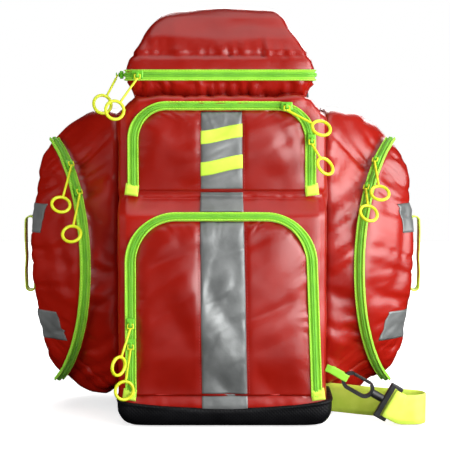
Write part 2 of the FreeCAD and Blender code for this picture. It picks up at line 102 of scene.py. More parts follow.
def make_stage():
    world = bpy.context.scene.world or bpy.data.worlds.new("world")
    bpy.context.scene.world = world
    world.use_nodes = True
    background = world.node_tree.nodes["Background"]
    background.inputs["Strength"].default_value = 1.0
    background.inputs["Color"].default_value = (1, 1, 1, 1)
    world.cycles_visibility.glossy = world.cycles_visibility.diffuse = False
    bpy.context.scene.view_settings.view_transform = "Standard"
    mesh = bpy.data.meshes.new("floor")
    rim = [(FLOOR_RADIUS * math.cos(t), FLOOR_RADIUS * math.sin(t), 0)
           for t in circle(FLOOR_SIDES)]
    mesh.from_pydata(rim, [], [tuple(range(FLOOR_SIDES))])
    floor = add("floor", mesh)
    surface = bpy.data.materials.new("floor_white")
    surface.use_nodes = True
    nodes, links = surface.node_tree.nodes, surface.node_tree.links
    shader = nodes["Principled BSDF"]
    shader.inputs["Base Color"].default_value = (0.93, 0.93, 0.93, 1)
    shader.inputs["Roughness"].default_value = 0.8
    shader.inputs["Emission Color"].default_value = (1, 1, 1, 1)
    place, reach, glow = (nodes.new("ShaderNode" + kind)
                          for kind in ("TexCoord", "VectorMath", "MapRange"))
    reach.operation = "LENGTH"
    links.new(place.outputs["Object"], reach.inputs[0])
    links.new(reach.outputs["Value"], glow.inputs["Value"])
    for index, value in enumerate(FLOOR_GLOW, 1):
        glow.inputs[index].default_value = value
    links.new(glow.outputs["Result"], shader.inputs["Emission Strength"])
    mesh.materials.append(surface)
    floor.visible_glossy = floor.visible_diffuse = False
    area_light("front_right", (0.66, -0.86, 0.41), (0, -0.05, 0.39), (0.86, 0.80), 11.5)
    for name, spot, size, power in (("key_right", (1.4, -0.45, 0.65), (1.0, 1.2), 22),
                                    ("top_soft", (0.1, -0.3, 1.6), (1.8, 1.3), 9),
                                    ("back_soft", (0.3, 1.9, 1.3), (1.6, 1.0), 36),
                                    ("fill_left", (-1.4, -0.7, 0.5), (1.0, 0.9), 15),
                                    ("fill_low", (0.3, -1.0, 0.05), (1.4, 0.5), 8)):
        lamp = area_light(name, spot, BAG_MIDDLE, size, power)
        lamp.visible_glossy = not name.startswith("fill")


# ---- mesh helpers ----------------------------------------------------------------------------
FRONT = np.array([0, -1.0, 0])
FABRIC = 2.4                            # thickness of the sewn walls, in millimetres


def make_object(name, points, faces):
    mesh = bpy.data.meshes.new(name)
    mesh.from_pydata([tuple(p) for p in np.asarray(points) * MM], [], faces)
    mesh.validate()
    mesh.polygons.foreach_set("use_smooth", [True] * len(mesh.polygons))
    return add(name, mesh)


def grid_faces(rows, columns, closed=False):
    faces = []
    for r in range(rows - 1):
        for c in range(columns if closed else columns - 1):
            a, b = r * columns + c, r * columns + (c + 1) % columns
            faces.append((a, b, b + columns, a + columns))
    return faces


def grid_object(name, grid, closed=False):
    return make_object(name, grid.reshape(-1, 3), grid_faces(*grid.shape[:2], closed))


@contextmanager
def editing(piece):
    """A piece's mesh as a bmesh, written back at the end."""
    mesh = bmesh.new()
    mesh.from_mesh(piece.data)
    yield mesh
    mesh.to_mesh(piece.data)
    mesh.free()


def read_vertices(piece, field):
    flat = np.empty(len(piece.data.vertices) * 3)
    piece.data.vertices.foreach_get(field, flat)
    return flat.reshape(-1, 3)


def get_points(piece):
    return read_vertices(piece, "co") / MM


def set_points(piece, points):
    piece.data.vertices.foreach_set("co", (np.asarray(points) * MM).ravel())
    piece.data.update()


def push(piece, amount):
    """Move each vertex along its normal by amount, in millimetres."""
    normals = read_vertices(piece, "normal")
    set_points(piece, get_points(piece) + normals * np.asarray(amount)[:, None])


def thicken(piece, thickness):
    modifier = piece.modifiers.new("thickness", "SOLIDIFY")
    modifier.thickness = thickness * MM
    modifier.offset = -1.0
    modifier.use_even_offset = False
    modifier.material_offset = 1
    modifier.material_offset_rim = 0


def dress(piece, body, materials, nodes=()):
    """Give a finished piece its materials, its body and the CAD nodes that it stands for."""
    piece.data.materials.clear()
    for material in materials:
        piece.data.materials.append(material)
    if nodes:
        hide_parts(*nodes)
    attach(piece, body)
    return piece


# ---- noise and folds -------------------------------------------------------------------------
def lattice(cells, seed):
    """A repeatable value from -1 to 1 for each whole-numbered cell."""
    weights = np.array([374761393, 668265263, 2147483647 // 7])
    mixed = cells.astype(np.int64) @ weights + seed * 974711
    mixed = (mixed ^ (mixed >> 13)) * 1274126177
    mixed = mixed ^ (mixed >> 16)
    return (mixed & 0xFFFF) / 32767.5 - 1.0


def noise(points, scale, seed=0):
    """Smooth value noise; scale is the size of a lump, one number or one for each axis."""
    p = np.asarray(points) / np.asarray(scale)
    cell = np.floor(p)
    f = p - cell
    f = f * f * f * (f * (f * 6 - 15) + 10)
    total = np.zeros(len(p))
    for corner in range(8):
        step = np.array([corner & 1, corner >> 1 & 1, corner >> 2 & 1])
        weight = np.prod(np.where(step, f, 1 - f), axis=1)
        total += weight * lattice(cell + step, seed)
    return total


def unit(vectors):
    return vectors / np.linalg.norm(vectors, axis=-1, keepdims=True)


def smooth_step(low, high, value):
    t = np.clip((value - low) / (high - low), 0, 1)
    return t * t * (3 - 2 * t)


def line_noise(along, pitch, seed):
    """Noise along one coordinate."""
    points = np.stack([along, np.zeros_like(along), np.zeros_like(along)], axis=1)
    return noise(points, pitch, seed)


def gathers(along, distance, depth, pitch, reach, seed, skew=0.35):
    """Creases that run away from a seam: sharp valleys at the seam that fade with distance."""
    slide = along + distance * skew * line_noise(along, pitch * 5, seed + 1)
    wave = line_noise(slide, pitch, seed) * 0.7 + line_noise(slide, pitch * 0.47, seed + 2) * 0.3
    ridge = 1 - 2 * np.abs(wave) ** 0.7
    length = reach * (0.65 + 0.5 * line_noise(along, pitch * 2.3, seed + 3))
    fade = np.exp(-(np.abs(distance) / np.maximum(length, 2.0)) ** 1.5)
    return -depth * fade * np.maximum(ridge, -0.6)


def groove(distance, depth, width):
    return -depth * np.exp(-(distance / width) ** 2)


def fold_value(points, direction, long, short, seed, warp_size, warp):
    """How far each point is from a fold's valley, for folds along a direction in the XZ plane."""
    direction = np.array(direction, float)
    direction /= np.linalg.norm(direction)
    across = np.array([direction[2], 0, -direction[0]])
    shift = noise(points, warp_size, seed + 5) * warp
    local = np.stack([points @ direction, points @ across + shift, points[:, 1] * 0.3], axis=1)
    return np.abs(noise(local, (long, short, short), seed))


def creases(points, direction, long, short, depth, seed):
    """Long narrow creases: rounded ridges parted by sharper valleys."""
    value = fold_value(points, direction, long, short, seed, 70, 12)
    return depth * (np.minimum(value * 2.6, 1) ** 0.8 - 0.6)


def folds(points, direction, long, short, depth, seed):
    """Long soft folds."""
    value = fold_value(points, direction, long, short, seed, 90, 14)
    return depth * (value ** 1.4 * 2 - 0.5)


# ---- star-shaped fabric forms -------------------------------------------------------------------
def smooth_max(values, radius):
    """The largest of several signed distances, rounded over where two meet."""
    stack = np.stack(values)
    top = stack.max(axis=0)
    return top + radius * np.log(np.exp((stack - top) / radius).sum(axis=0))


def cube_shell(half, spacing):
    """Points and quads of a closed box surface with about spacing between points."""
    counts = [max(4, int(round(2 * h / spacing))) for h in half]
    index, points, faces = {}, [], []

    def vertex(key):
        if key not in index:
            index[key] = len(points)
            points.append([(2 * k / n - 1) * h for k, n, h in zip(key, counts, half)])
        return index[key]

    for axis in range(3):
        a, b = (axis + 1) % 3, (axis + 2) % 3
        for end in (0, counts[axis]):
            for i in range(counts[a]):
                for j in range(counts[b]):
                    quad = []
                    for di, dj in ((0, 0), (1, 0), (1, 1), (0, 1)):
                        key = [0, 0, 0]
                        key[axis], key[a], key[b] = end, i + di, j + dj
                        quad.append(vertex(tuple(key)))
                    faces.append(tuple(quad) if end else tuple(quad[::-1]))
    return np.array(points), faces


def star_form(name, centre, half, field, spacing, reach=1.6):
    """A closed form where field is zero, seen from its centre."""
    rays, faces = cube_shell(half, spacing)
    centre = np.array(centre, float)
    low = np.zeros(len(rays))
    high = np.full(len(rays), reach)
    for _ in range(26):
        middle = (low + high) / 2
        inside = field(centre + rays * middle[:, None]) < 0
        low = np.where(inside, middle, low)
        high = np.where(inside, high, middle)
    return make_object(name, centre + rays * low[:, None], faces)


def keep_side(piece, point, normal):
    """Cut a piece by a plane and keep what its normal points at."""
    with editing(piece) as mesh:
        geometry = mesh.verts[:] + mesh.edges[:] + mesh.faces[:]
        bmesh.ops.bisect_plane(mesh, geom=geometry, plane_co=Vector(point) * MM,
                               plane_no=Vector(normal), clear_inner=True, dist=1e-6)


def copy_of(piece, name):
    twin = piece.copy()
    twin.data = piece.data.copy()
    twin.name = name
    twin.data.name = name
    bpy.context.collection.objects.link(twin)
    return twin


def tree_of(piece):
    mesh = bmesh.new()
    mesh.from_mesh(piece.data)
    tree = BVHTree.FromBMesh(mesh)
    mesh.free()
    return tree


def drape(points, piece, direction, lift):
    """Slide points along a direction until they lie lift in front of a piece."""
    tree = tree_of(piece)
    points = np.asarray(points, float)
    directions = unit(np.broadcast_to(np.asarray(direction, float), points.shape))
    result = []
    for point, way in zip(points, directions):
        start = Vector(point - way * 60) * MM
        hit = tree.ray_cast(start, Vector(way), 0.2)
        spot = hit[0] or tree.find_nearest(Vector(point) * MM)[0]
        result.append(np.array(spot) / MM - way * lift)
    return np.array(result)


# ---- materials ---------------------------------------------------------------------------------
class Nodes:
    """Short hand for building one material's node tree."""

    def __init__(self, name, **settings):
        self.material = bpy.data.materials.new(name)
        self.material.use_nodes = True
        self.tree = self.material.node_tree
        self.shader = self.tree.nodes["Principled BSDF"]
        self.place = self.new("TexCoord").outputs["Object"]
        for key, value in settings.items():
            self.shader.inputs[key.replace("_", " ")].default_value = value

    def new(self, kind, vector=None, **values):
        """A node with constant values on its sockets, and its vector linked if one is given."""
        node = self.tree.nodes.new("ShaderNode" + kind)
        for key, value in values.items():
            node.inputs[key].default_value = value
        if vector is not None:
            self.link(vector, node.inputs["Vector"])
        return node

    def link(self, output, socket):
        self.tree.links.new(output, socket)

    def turned(self, turn):
        return self.new("Mapping", self.place, Rotation=turn).outputs["Vector"]

    def noise(self, scale, detail):
        return self.new("TexNoise", self.place, Scale=scale, Detail=detail).outputs["Fac"]

    def cells(self, scale, randomness=1.0):
        node = self.new("TexVoronoi", self.place, Scale=scale, Randomness=randomness)
        return node.outputs["Distance"]

    def wave(self, scale, direction, distortion=0.0, vector=None):
        node = self.new("TexWave", vector or self.place, Scale=scale, Distortion=distortion)
        node.bands_direction = direction
        return node.outputs["Fac"]

    def math(self, operation, first, second):
        node = self.new("Math")
        node.operation = operation
        self.link(first, node.inputs[0])
        self.link(second, node.inputs[1])
        return node.outputs["Value"]

    def ramp(self, value, low, high, start, end):
        """Map a value to a range of numbers, or of colours when low and high are colours."""
        node = self.new("ValToRGB")
        for element, place, level in zip(node.color_ramp.elements, (start, end), (low, high)):
            element.position = place
            element.color = (*level, 1) if isinstance(level, tuple) else (level,) * 3 + (1,)
        self.link(value, node.inputs["Fac"])
        return node.outputs["Color"]

    def blotch(self, socket, scale, detail, low, high, start=0.3, end=0.7):
        """Let a setting wander between two values in patches."""
        patches = self.ramp(self.noise(scale, detail), low, high, start, end)
        self.link(patches, self.shader.inputs[socket])

    def bump(self, height, strength, distance, under=None):
        node = self.new("Bump", Strength=strength, Distance=distance * MM)
        self.link(height, node.inputs["Height"])
        if under is not None:
            self.link(under, node.inputs["Normal"])
        return node.outputs["Normal"]

    def done(self, normal):
        self.link(normal, self.shader.inputs["Normal"])
        return self.material


def coated_fabric(name, dark, light, roughness=(0.28, 0.32)):
    """Tarpaulin: woven cloth under a glossy coat, softly crumpled."""
    n = Nodes(name, Coat_Weight=0.12, Coat_Roughness=0.2, Specular_IOR_Level=0.65)
    n.blotch("Base Color", 14, 5, dark, light)
    n.blotch("Roughness", 18, 1, *roughness)
    crumple = n.bump(n.noise(30, 1), 0.12, 1.2)
    grain = n.bump(n.noise(420, 2), 0.25, 0.22, crumple)
    weave = n.math("MULTIPLY", n.wave(560, "X"), n.wave(560, "Z"))
    return n.done(n.bump(weave, 0.35, 0.10, grain))


def webbing(name, dark, light, pitch, roughness=0.55):
    """Woven tape: fine ribs across, crossed by finer yarns."""
    n = Nodes(name, Sheen_Weight=0.15, Roughness=roughness)
    n.blotch("Base Color", 60, 4, dark, light)
    ribs = n.math("MULTIPLY", n.wave(pitch, "Z", 0.4), n.wave(pitch * 1.7, "X", 0.4))
    coarse = n.bump(n.noise(220, 3), 0.25, 0.3)
    return n.done(n.bump(ribs, 0.6, 0.25, coarse))


def reflective_tape():
    """Silver tape with glass beads: grey, satin, creased, a little soiled."""
    n = Nodes("reflective", Metallic=0.35)
    n.blotch("Base Color", 26, 6, (0.13, 0.137, 0.135), (0.24, 0.25, 0.248))
    n.blotch("Roughness", 55, 4, 0.30, 0.50)
    crease = n.bump(n.noise(70, 5), 0.6, 1.2)
    return n.done(n.bump(n.cells(1500), 0.3, 0.12, crease))


def moulded(name, dark, light, roughness, **settings):
    """Moulded plastic with a faint spark-eroded grain and rubbed patches."""
    n = Nodes(name, **settings)
    n.blotch("Base Color", 90, 5, dark, light, 0.35, 0.65)
    n.blotch("Roughness", 160, 4, *roughness)
    return n.done(n.bump(n.noise(900, 3), 0.35, 0.12))


def embossed_rubber():
    """Black rubber with a fine raised mesh."""
    n = Nodes("boot_rubber", Specular_IOR_Level=0.2)
    n.blotch("Base Color", 40, 5, (0.002, 0.002, 0.0025), (0.006, 0.006, 0.007))
    n.blotch("Roughness", 120, 4, 0.42, 0.62)
    slanted = n.turned((0, math.radians(45), 0))
    mesh = n.math("MAXIMUM", n.wave(95, "X", 0, slanted), n.wave(95, "Z", 0, slanted))
    soft = n.bump(n.noise(700, 2), 0.3, 0.1)
    return n.done(n.bump(mesh, 0.7, 0.5, soft))


def mesh_cloth(name, dark, light, scale=240):
    """Black spacer mesh: small holes in a knitted face, with painted shade inside the holes."""
    n = Nodes(name, Sheen_Weight=0.3, Roughness=0.85)
    cells = n.cells(scale, 0.25)
    # dark in the holes, lighter on the face: painted shade inside the holes
    n.link(n.ramp(cells, dark, light, 0.15, 0.45), n.shader.inputs["Base Color"])
    soft = n.bump(n.noise(90, 4), 0.4, 0.8)
    return n.done(n.bump(cells, 0.7, 0.6, soft))


RED = coated_fabric("red_fabric", (0.26, 0.0050, 0.0016), (0.34, 0.0085, 0.0032))
RED_DOOR = coated_fabric("red_door", (0.22, 0.0046, 0.0015), (0.29, 0.0076, 0.0030))
LINING = coated_fabric("grey_lining", (0.050, 0.051, 0.055), (0.085, 0.086, 0.090), (0.5, 0.7))
TAPE = webbing("lime_tape", (0.24, 0.62, 0.022), (0.31, 0.72, 0.036), 420)
# The coil's green is darker than the tape's: painted shade for the groove down the middle of a zip.
SHADED_COIL = webbing("lime_coil_painted_shade", (0.12, 0.42, 0.010), (0.17, 0.52, 0.018), 700, 0.4)
BAND = webbing("lime_band", (0.52, 0.80, 0.045), (0.62, 0.88, 0.070), 300)
THREAD = webbing("red_thread", (0.30, 0.010, 0.010), (0.42, 0.020, 0.018), 900)
SILVER = reflective_tape()
SLIDER = moulded("lime_slider", (0.13, 0.50, 0.02), (0.20, 0.62, 0.04), (0.25, 0.4),
                 Metallic=0.25, Coat_Weight=0.3)
PULL = moulded("pull_lime", (0.55, 0.62, 0.012), (0.66, 0.72, 0.022), (0.30, 0.45),
               Subsurface_Weight=0.08, Subsurface_Scale=0.003)
LIME_WEB = webbing("lime_webbing", (0.60, 0.82, 0.060), (0.72, 0.92, 0.110), 260)
RUBBER = embossed_rubber()
PLASTIC = moulded("black_plastic", (0.008, 0.008, 0.009), (0.02, 0.02, 0.021), (0.3, 0.45))
BLACK_MESH = mesh_cloth("black_fabric", (0.004, 0.004, 0.004), (0.030, 0.030, 0.032))
BLACK_WEB = webbing("black_webbing", (0.008, 0.008, 0.009), (0.022, 0.022, 0.024), 260, 0.6)
# the foam board's dark cells are painted shade in its pores
FOAM = mesh_cloth("foam_board", (0.02, 0.02, 0.02), (0.06, 0.06, 0.06), 600)


# ---- the centre column ---------------------------------------------------------------------
HALF_WIDTH, BACK_Y, NECK_Z, STEP_Z = 132.0, 110.0, 416.0, 292.5
LOWER = dict(half=114.0, bottom=42.0, top=267.0, radius=57.0, face=-148.0, lean=(0.955, 1.035))
UPPER = dict(half=111.0, bottom=298.0, top=404.0, radius=42.0, face=-130.0, lean=(0.985, 0.99))


def lean(x, z, door):
    """How much wider the right half of a door is at each height: it widens towards the foot."""
    top, foot = door["lean"]
    share = (z - door["bottom"]) / (door["top"] - door["bottom"])
    return np.where(x > 0, foot + (top - foot) * share, 1.0)


def arch_inset(points, door, with_foot=True):
    """How far inside a door's outline each point lies, measured in the XZ plane."""
    x, z = np.abs(points[:, 0] / lean(points[:, 0], points[:, 2], door)), points[:, 2]
    r = door["radius"]
    corner_x, corner_z = door["half"] - r, door["top"] - r
    straight = np.minimum(door["half"] - x, door["top"] - z)
    round_part = r - np.hypot(x - corner_x, z - corner_z)
    side = np.where((x > corner_x) & (z > corner_z), round_part, straight)
    return np.minimum(side, z - door["bottom"]) if with_foot else side


def column_field(p):
    x, y, z = p.T
    half = HALF_WIDTH - 20 * smooth_step(384, 420, z)
    front = 147.5 - 18 * smooth_step(264, 292, z)
    tuck = 7 * smooth_step(30, 14, z)
    plan = smooth_max([np.abs(x) - half, -y - front, y - BACK_Y], 7.5) + tuck
    return smooth_max([plan, z - NECK_Z - 1, 12 - z], 3.5)


CUT_Y, CUT_INSET = -95.0, 2.0           # a door's opening is cut in front of CUT_Y only


def open_arch(piece, door):
    """Take the door's opening out of a wall and pull the cut edge on to its outline."""
    with editing(piece) as mesh:
        centres = np.array([f.calc_center_median() for f in mesh.faces]) / MM
        inside = (arch_inset(centres, door) > CUT_INSET) & (centres[:, 1] < CUT_Y)
        bmesh.ops.delete(mesh, geom=[f for f, i in zip(mesh.faces[:], inside) if i],
                         context="FACES")
        for vertex in mesh.verts:
            if not vertex.is_boundary or vertex.co.y > CUT_Y * MM:
                continue
            point = np.array(vertex.co)[None] / MM
            inset = arch_inset(point, door)[0]
            if -9 < inset < 16:
                step = 0.2
                slope = [(arch_inset(point + np.array(d) * step, door)[0] - inset) / step
                         for d in ((1, 0, 0), (0, 0, 1))]
                vertex.co.x -= slope[0] * (inset - CUT_INSET) * MM
                vertex.co.z -= slope[1] * (inset - CUT_INSET) * MM


def make_column():
    column = star_form("column", (0, -15, 215), (HALF_WIDTH, 130, 206), column_field, 4.0)
    p = get_points(column)
    x, y, z = p.T
    lower_inset, upper_inset = arch_inset(p, LOWER), arch_inset(p, UPPER)
    outside = np.minimum(-np.minimum(lower_inset, 0), -np.minimum(upper_inset, 0))
    front = smooth_step(-100, -120, y)
    amount = folds(p, (0.35, 0, 1), 110, 26, 2.2, 11) * (0.35 + 0.65 * (1 - front))
    amount += folds(p, (1, 0, 0.3), 80, 30, 1.6, 12) * (1 - front)
    amount += front * groove(z - STEP_Z, 4.6, 3.6)
    amount += front * gathers(x, z - STEP_Z, 1.8, 16, 15, 21) * (z < STEP_Z)
    amount += front * gathers(z, outside, 1.2, 20, 16, 22)
    amount += groove(np.abs(x) - (HALF_WIDTH - 7), 1.6, 1.8) * front * (z < 400)
    amount += gathers(x, NECK_Z - z, 2.0, 14, 16, 23) * smooth_step(380, 410, z)
    amount += front * gathers(x, z - 30, 1.6, 18, 16, 24) * (z < 60)
    amount *= 1 - 0.85 * smooth_step(118, 126, np.abs(x)) * smooth_step(-60, -35, y)
    hinge = np.exp(-((z - 298) / 5) ** 2) + np.exp(-((z - 42) / 5) ** 2)
    hinge *= front * smooth_step(118, 110, np.abs(x))
    amount = amount * (1 - hinge) - 1.6 * hinge
    push(column, amount * smooth_step(20, 34, z))
    open_arch(column, LOWER)
    open_arch(column, UPPER)
    thicken(column, 2.6)
    return dress(column, "pack", (RED, LINING), ("main_shell",))


def boot_top(x):
    return 25.5 + 9.5 * (np.abs(x) / HALF_WIDTH) ** 2.2


def boot_field(p):
    x, y, z = p.T
    top = boot_top(x)
    plan = smooth_max([np.abs(x - 3) - 136.5, -y - 149.5, y - 111], 8)
    body = smooth_max([plan + 5 * smooth_step(22, 0, z), -z], 6.5)
    return smooth_max([body, z - top], 0.8)


def make_boot():
    boot = star_form("boot", (2, -18, 13), (135, 129, 13), boot_field, 3.2, 2.4)
    p = get_points(boot)
    lip = 1.3 * np.exp(-((p[:, 2] - boot_top(p[:, 0]) + 1.5) / 1.8) ** 2)
    wave = 0.6 * noise(p, (60, 60, 30), 31)
    push(boot, lip + wave * (p[:, 2] > 3))
    floor = get_points(boot)
    floor[:, 2] = np.maximum(floor[:, 2], 0)
    set_points(boot, floor)
    return dress(boot, "pack", (RUBBER,), ("base_boot",))


# ---- paths and zips --------------------------------------------------------------------------
def run_lengths(path):
    """Distance along a path at each of its points."""
    return np.r_[0, np.cumsum(np.linalg.norm(np.diff(path, axis=0), axis=1))]


def interpolate(at, lengths, values):
    """Vectors that are known at some distances along a path, at other distances."""
    return np.stack([np.interp(at, lengths, values[:, k]) for k in range(3)], axis=1)


def even_path(points, spacing):
    """Resample a run of points at even steps."""
    points = np.asarray(points, float)
    lengths = run_lengths(points)
    count = max(3, int(round(lengths[-1] / spacing)) + 1)
    return interpolate(np.linspace(0, lengths[-1], count), lengths, points)


def refined(path, spacing, *fields):
    """A path at even steps, the distances along it, and each field of directions there."""
    fine, lengths = even_path(path, spacing), run_lengths(path)
    at = np.linspace(0, lengths[-1], len(fine))
    return [fine, at] + [unit(interpolate(at, lengths, field)) for field in fields]


def tangents(path):
    return unit(np.gradient(path, axis=0))


def arch_path(door, inset=0.0):
    """The door's outline from bottom left, over the top, to bottom right, as points."""
    half, top, r = door["half"] - inset, door["top"] - inset, door["radius"] - inset
    x, z = [-half, -half], [door["bottom"] - 1.0, top - r]
    for degrees in range(175, 90, -5):
        angle = math.radians(degrees)
        x.append(-half + r + r * math.cos(angle))
        z.append(top - r + r * math.sin(angle))
    x = x + [-half + r] + [-v for v in reversed(x + [-half + r])]
    z = z + [top] + list(reversed(z + [top]))
    x, z = np.array(x), np.array(z)
    return np.stack([x * lean(x, z, door), np.full(len(x), door["face"]), z], axis=1)


def sweep(name, path, across, lift, section, closed=False):
    """Carry a cross-section of (across, lift) pairs along a path."""
    section = np.asarray(section, float)
    grid = (path[:, None] + across[:, None] * section[None, :, 0, None]
            + lift[:, None] * section[None, :, 1, None])
    return grid_object(name, grid, closed)


def turn_out(piece, direction):
    """Flip a piece's faces if most of them point against a direction field."""
    if (read_vertices(piece, "normal") * direction).sum() < 0:
        with editing(piece) as mesh:
            bmesh.ops.reverse_faces(mesh, faces=mesh.faces[:])


COIL_STEP, COIL_BASE, COIL_HEIGHT = 2.5, 1.4, 3.2


def coil_half(name, path, across, lift, side):
    """One side of the closed teeth: a rounded bead ribbed at every coil."""
    fine, at, a, u = refined(path, 0.62, across, lift)
    rib = 0.5 + 0.5 * np.cos(2 * np.pi * (at / COIL_STEP + (0.0 if side > 0 else 0.5)))
    edge = 0.25 - 0.55 * rib
    rows = []
    for t, level in ((0.0, 0.35), (0.12, 0.85), (0.4, 1.0), (0.75, 0.8), (1.0, 0.0)):
        out = side * (edge + (2.7 - edge) * t)
        up = COIL_BASE + (COIL_HEIGHT - COIL_BASE) * level * (0.72 + 0.28 * rib)
        rows.append(fine + a * out[:, None] + u * up[:, None])
    piece = grid_object(name, np.stack(rows, axis=1))
    turn_out(piece, lift.mean(axis=0))
    return piece


STITCH, STITCH_GAP, STITCH_WIDTH, STITCH_HEIGHT = 2.6, 1.5, 0.75, 0.5
STITCH_STEPS = 8                        # path points from one stitch to the next


def stitches(name, path, lift):
    """A row of stitches: a small rounded bar for each."""
    fine, _, u = refined(path, (STITCH + STITCH_GAP) / STITCH_STEPS, lift)
    side = unit(np.cross(tangents(fine), u))
    points, faces = [], []
    span = max(2, int(round(STITCH_STEPS * STITCH / (STITCH + STITCH_GAP))))
    for start in range(0, len(fine) - STITCH_STEPS, STITCH_STEPS):
        first = len(points)
        for step, swell in ((0, 0.35), (span // 2, 1.0), (span, 0.35)):
            i = start + step
            w, h = STITCH_WIDTH * (0.6 + 0.4 * swell) / 2, STITCH_HEIGHT * swell
            points += [fine[i] - side[i] * w, fine[i] - side[i] * w * 0.6 + u[i] * h,
                       fine[i] + side[i] * w * 0.6 + u[i] * h, fine[i] + side[i] * w]
        for a in (first + k + j for k in (0, 4) for j in range(3)):
            faces.append((a, a + 1, a + 5, a + 4))
        faces += [(first, first + 3, first + 2, first + 1),
                  (first + 8, first + 9, first + 10, first + 11)]
    return make_object(name, points, faces)


FRAME_SECTION = [(7.4, -1.6), (7.4, 1.2), (6.8, 2.2), (5.9, 2.3), (5.2, 1.5), (4.7, 0.6),
                 (2.8, 0.7), (0.8, 0.9)]
DOOR_SECTION = [(-0.8, 0.9), (-2.8, 0.7), (-4.1, 0.6), (-4.6, 1.5), (-5.3, 2.2), (-6.0, 2.1),
                (-6.5, 1.1), (-6.5, -1.6)]


def make_zip(prefix, path, across, lift, door_body, frame_node, door_node, width=None):
    """Both tapes of a closed zip with their coils. across points to the frame's side."""
    lengths = run_lengths(path)
    ripple = 0.35 * line_noise(lengths, 14, 41) + 0.2 * line_noise(lengths, 5, 42)
    wide = across if width is None else across * width[:, None]
    frame_tape = sweep(prefix + "_frame_tape", path, wide, lift, FRAME_SECTION)
    door_tape = sweep(prefix + "_door_tape", path, wide, lift, DOOR_SECTION)
    for tape, section in ((frame_tape, FRAME_SECTION), (door_tape, DOOR_SECTION)):
        turn_out(tape, lift.mean(axis=0))
        outer = np.array([abs(s[0]) > 3.5 for s in section], float)
        shift = (lift[:, None] * (ripple[:, None] * outer[None])[..., None]).reshape(-1, 3)
        set_points(tape, get_points(tape) + shift)
    dress(frame_tape, "pack", (TAPE,), frame_node)
    dress(door_tape, door_body, (TAPE,), door_node)
    # the coils carry the darker green: painted shade along the middle of the zip
    for name, side, body in (("_frame_coil", 1, "pack"), ("_door_coil", -1, door_body)):
        dress(coil_half(prefix + name, path, across, lift, side), body, (SHADED_COIL,))
    for name, row, body in (("_frame_stitches", path + wide * 6.3 + lift * 2.2, "pack"),
                            ("_door_stitches", path - wide * 5.6 + lift * 2.1, door_body)):
        dress(stitches(prefix + name, row, lift), body, (BAND,))


def make_front_zip(prefix, door, door_body, door_node, frame_nodes):
    path = even_path(arch_path(door), 3.0)
    flat = np.tile([0.0, -1.0, 0.0], (len(path), 1))
    path = path + flat * (0.2 if door is UPPER else 0.9)
    out = unit(np.cross(flat, tangents(path)))
    tip = np.radians(26) * smooth_step(0.3, 0.95, out[:, 2])[:, None]
    across = out * np.cos(tip) - flat * np.sin(tip)
    lift = flat * np.cos(tip) + out * np.sin(tip)
    make_zip(prefix, path, across, lift, door_body, frame_nodes, (door_node,),
             1 - 0.2 * smooth_step(0.3, 0.95, out[:, 2]))


# ---- front doors ---------------------------------------------------------------------------
def door_grid(door, inset, spacing):
    """Rows of points across the arch, from its bottom to its top."""
    half, top, r = door["half"] - inset, door["top"] - inset, door["radius"] - inset
    low = door["bottom"]
    levels = list(np.linspace(low, top - r, int((top - r - low) / spacing) + 1))
    turns = int(r * math.pi / 2 / spacing) + 2
    widths = [half] * len(levels)
    for angle in np.linspace(0, math.pi / 2, turns)[1:]:
        levels.append(top - r + r * math.sin(angle))
        widths.append(half - r + r * math.cos(angle))
    columns = int(2 * half / spacing) + 1
    across = np.linspace(-1, 1, columns)
    z = np.repeat(np.array(levels)[:, None], columns, axis=1)
    x = np.array(widths)[:, None] * across[None]
    return np.stack([x * lean(x, z, door), np.full_like(x, door["face"]), z], axis=2)


def door_lift(points, door, seed):
    """How far a door's fabric stands forward of its flat face."""
    x, z = points[:, 0], points[:, 2]
    inset = np.maximum(arch_inset(points, door, with_foot=False) - 6, 0)
    tall = door["top"] - door["bottom"]
    foot = smooth_step(-4, 55, z - door["bottom"])
    crown = 6.0 * (1 - np.exp(-inset / 8.0)) * (0.1 + 0.9 * foot)
    crown += 7.0 * (1 - np.exp(-inset / 40.0)) * foot
    seam = np.abs(x - stripe_middle(z)) - stripe_half(z) - 1.0
    lift = crown - 1.5 * np.exp(-(seam / 3.5) ** 2) * (0.4 + 0.6 * foot) - 0.8 * foot * (seam < 0)
    around = np.arctan2(z - (door["bottom"] + tall / 2), x) * 120
    lift += gathers(around, inset, 1.7, 13, 15, seed) * (0.1 + 0.9 * foot)
    inner = smooth_step(4, 30, inset)
    lift += folds(points, (0.5, 0, -1), 150, 42, 3.4, seed + 4) * inner
    lift += folds(points, (1, 0, 0.45), 120, 30, 1.8, seed + 6) * inner
    lift += 0.35 * noise(points, 16, seed + 8)
    return lift


def make_door(prefix, door, seed):
    panel = grid_object(prefix + "_door_panel", door_grid(door, 4.5, 3.0))
    turn_out(panel, FRONT)
    p = get_points(panel)
    p[:, 1] = door["face"] - door_lift(p, door, seed)
    set_points(panel, p)
    thicken(panel, FABRIC)
    body = prefix + "_door"
    dress(panel, body, (RED_DOOR, LINING), (body,))
    make_front_zip(prefix + "_zip", door, body, body + "_tape",
                   ("front_zip_frame_tapes",) if prefix == "upper" else ())
    z = np.linspace(door["bottom"] + 3, door["top"] - 8, 90)
    for side, name in ((-1, "left"), (1, "right")):
        x = stripe_middle(z) + side * (stripe_half(z) + 2.2)
        line = np.stack([x, np.full(len(z), door["face"]), z], axis=1)
        line[:, 1] = door["face"] - door_lift(line, door, seed) - 0.1
        row = stitches(prefix + "_stripe_stitches_" + name, line, np.tile(FRONT, (len(z), 1)))
        dress(row, body, (THREAD,))


def stripe_half(z):
    return np.interp(z, [20, 267, 300, 404], [28.6, 27.2, 26.2, 25.4])


def stripe_middle(z):
    return np.interp(z, [20, 267, 404], [3.5, -0.5, -1.0])


def stripe_crease(points, seed):
    crease = folds(points, (1, 0, 0.5), 70, 17, 1.7, seed + 20)
    crease += folds(points, (0.3, 0, 1), 80, 15, 1.2, seed + 22)
    return np.maximum(crease, -0.3)


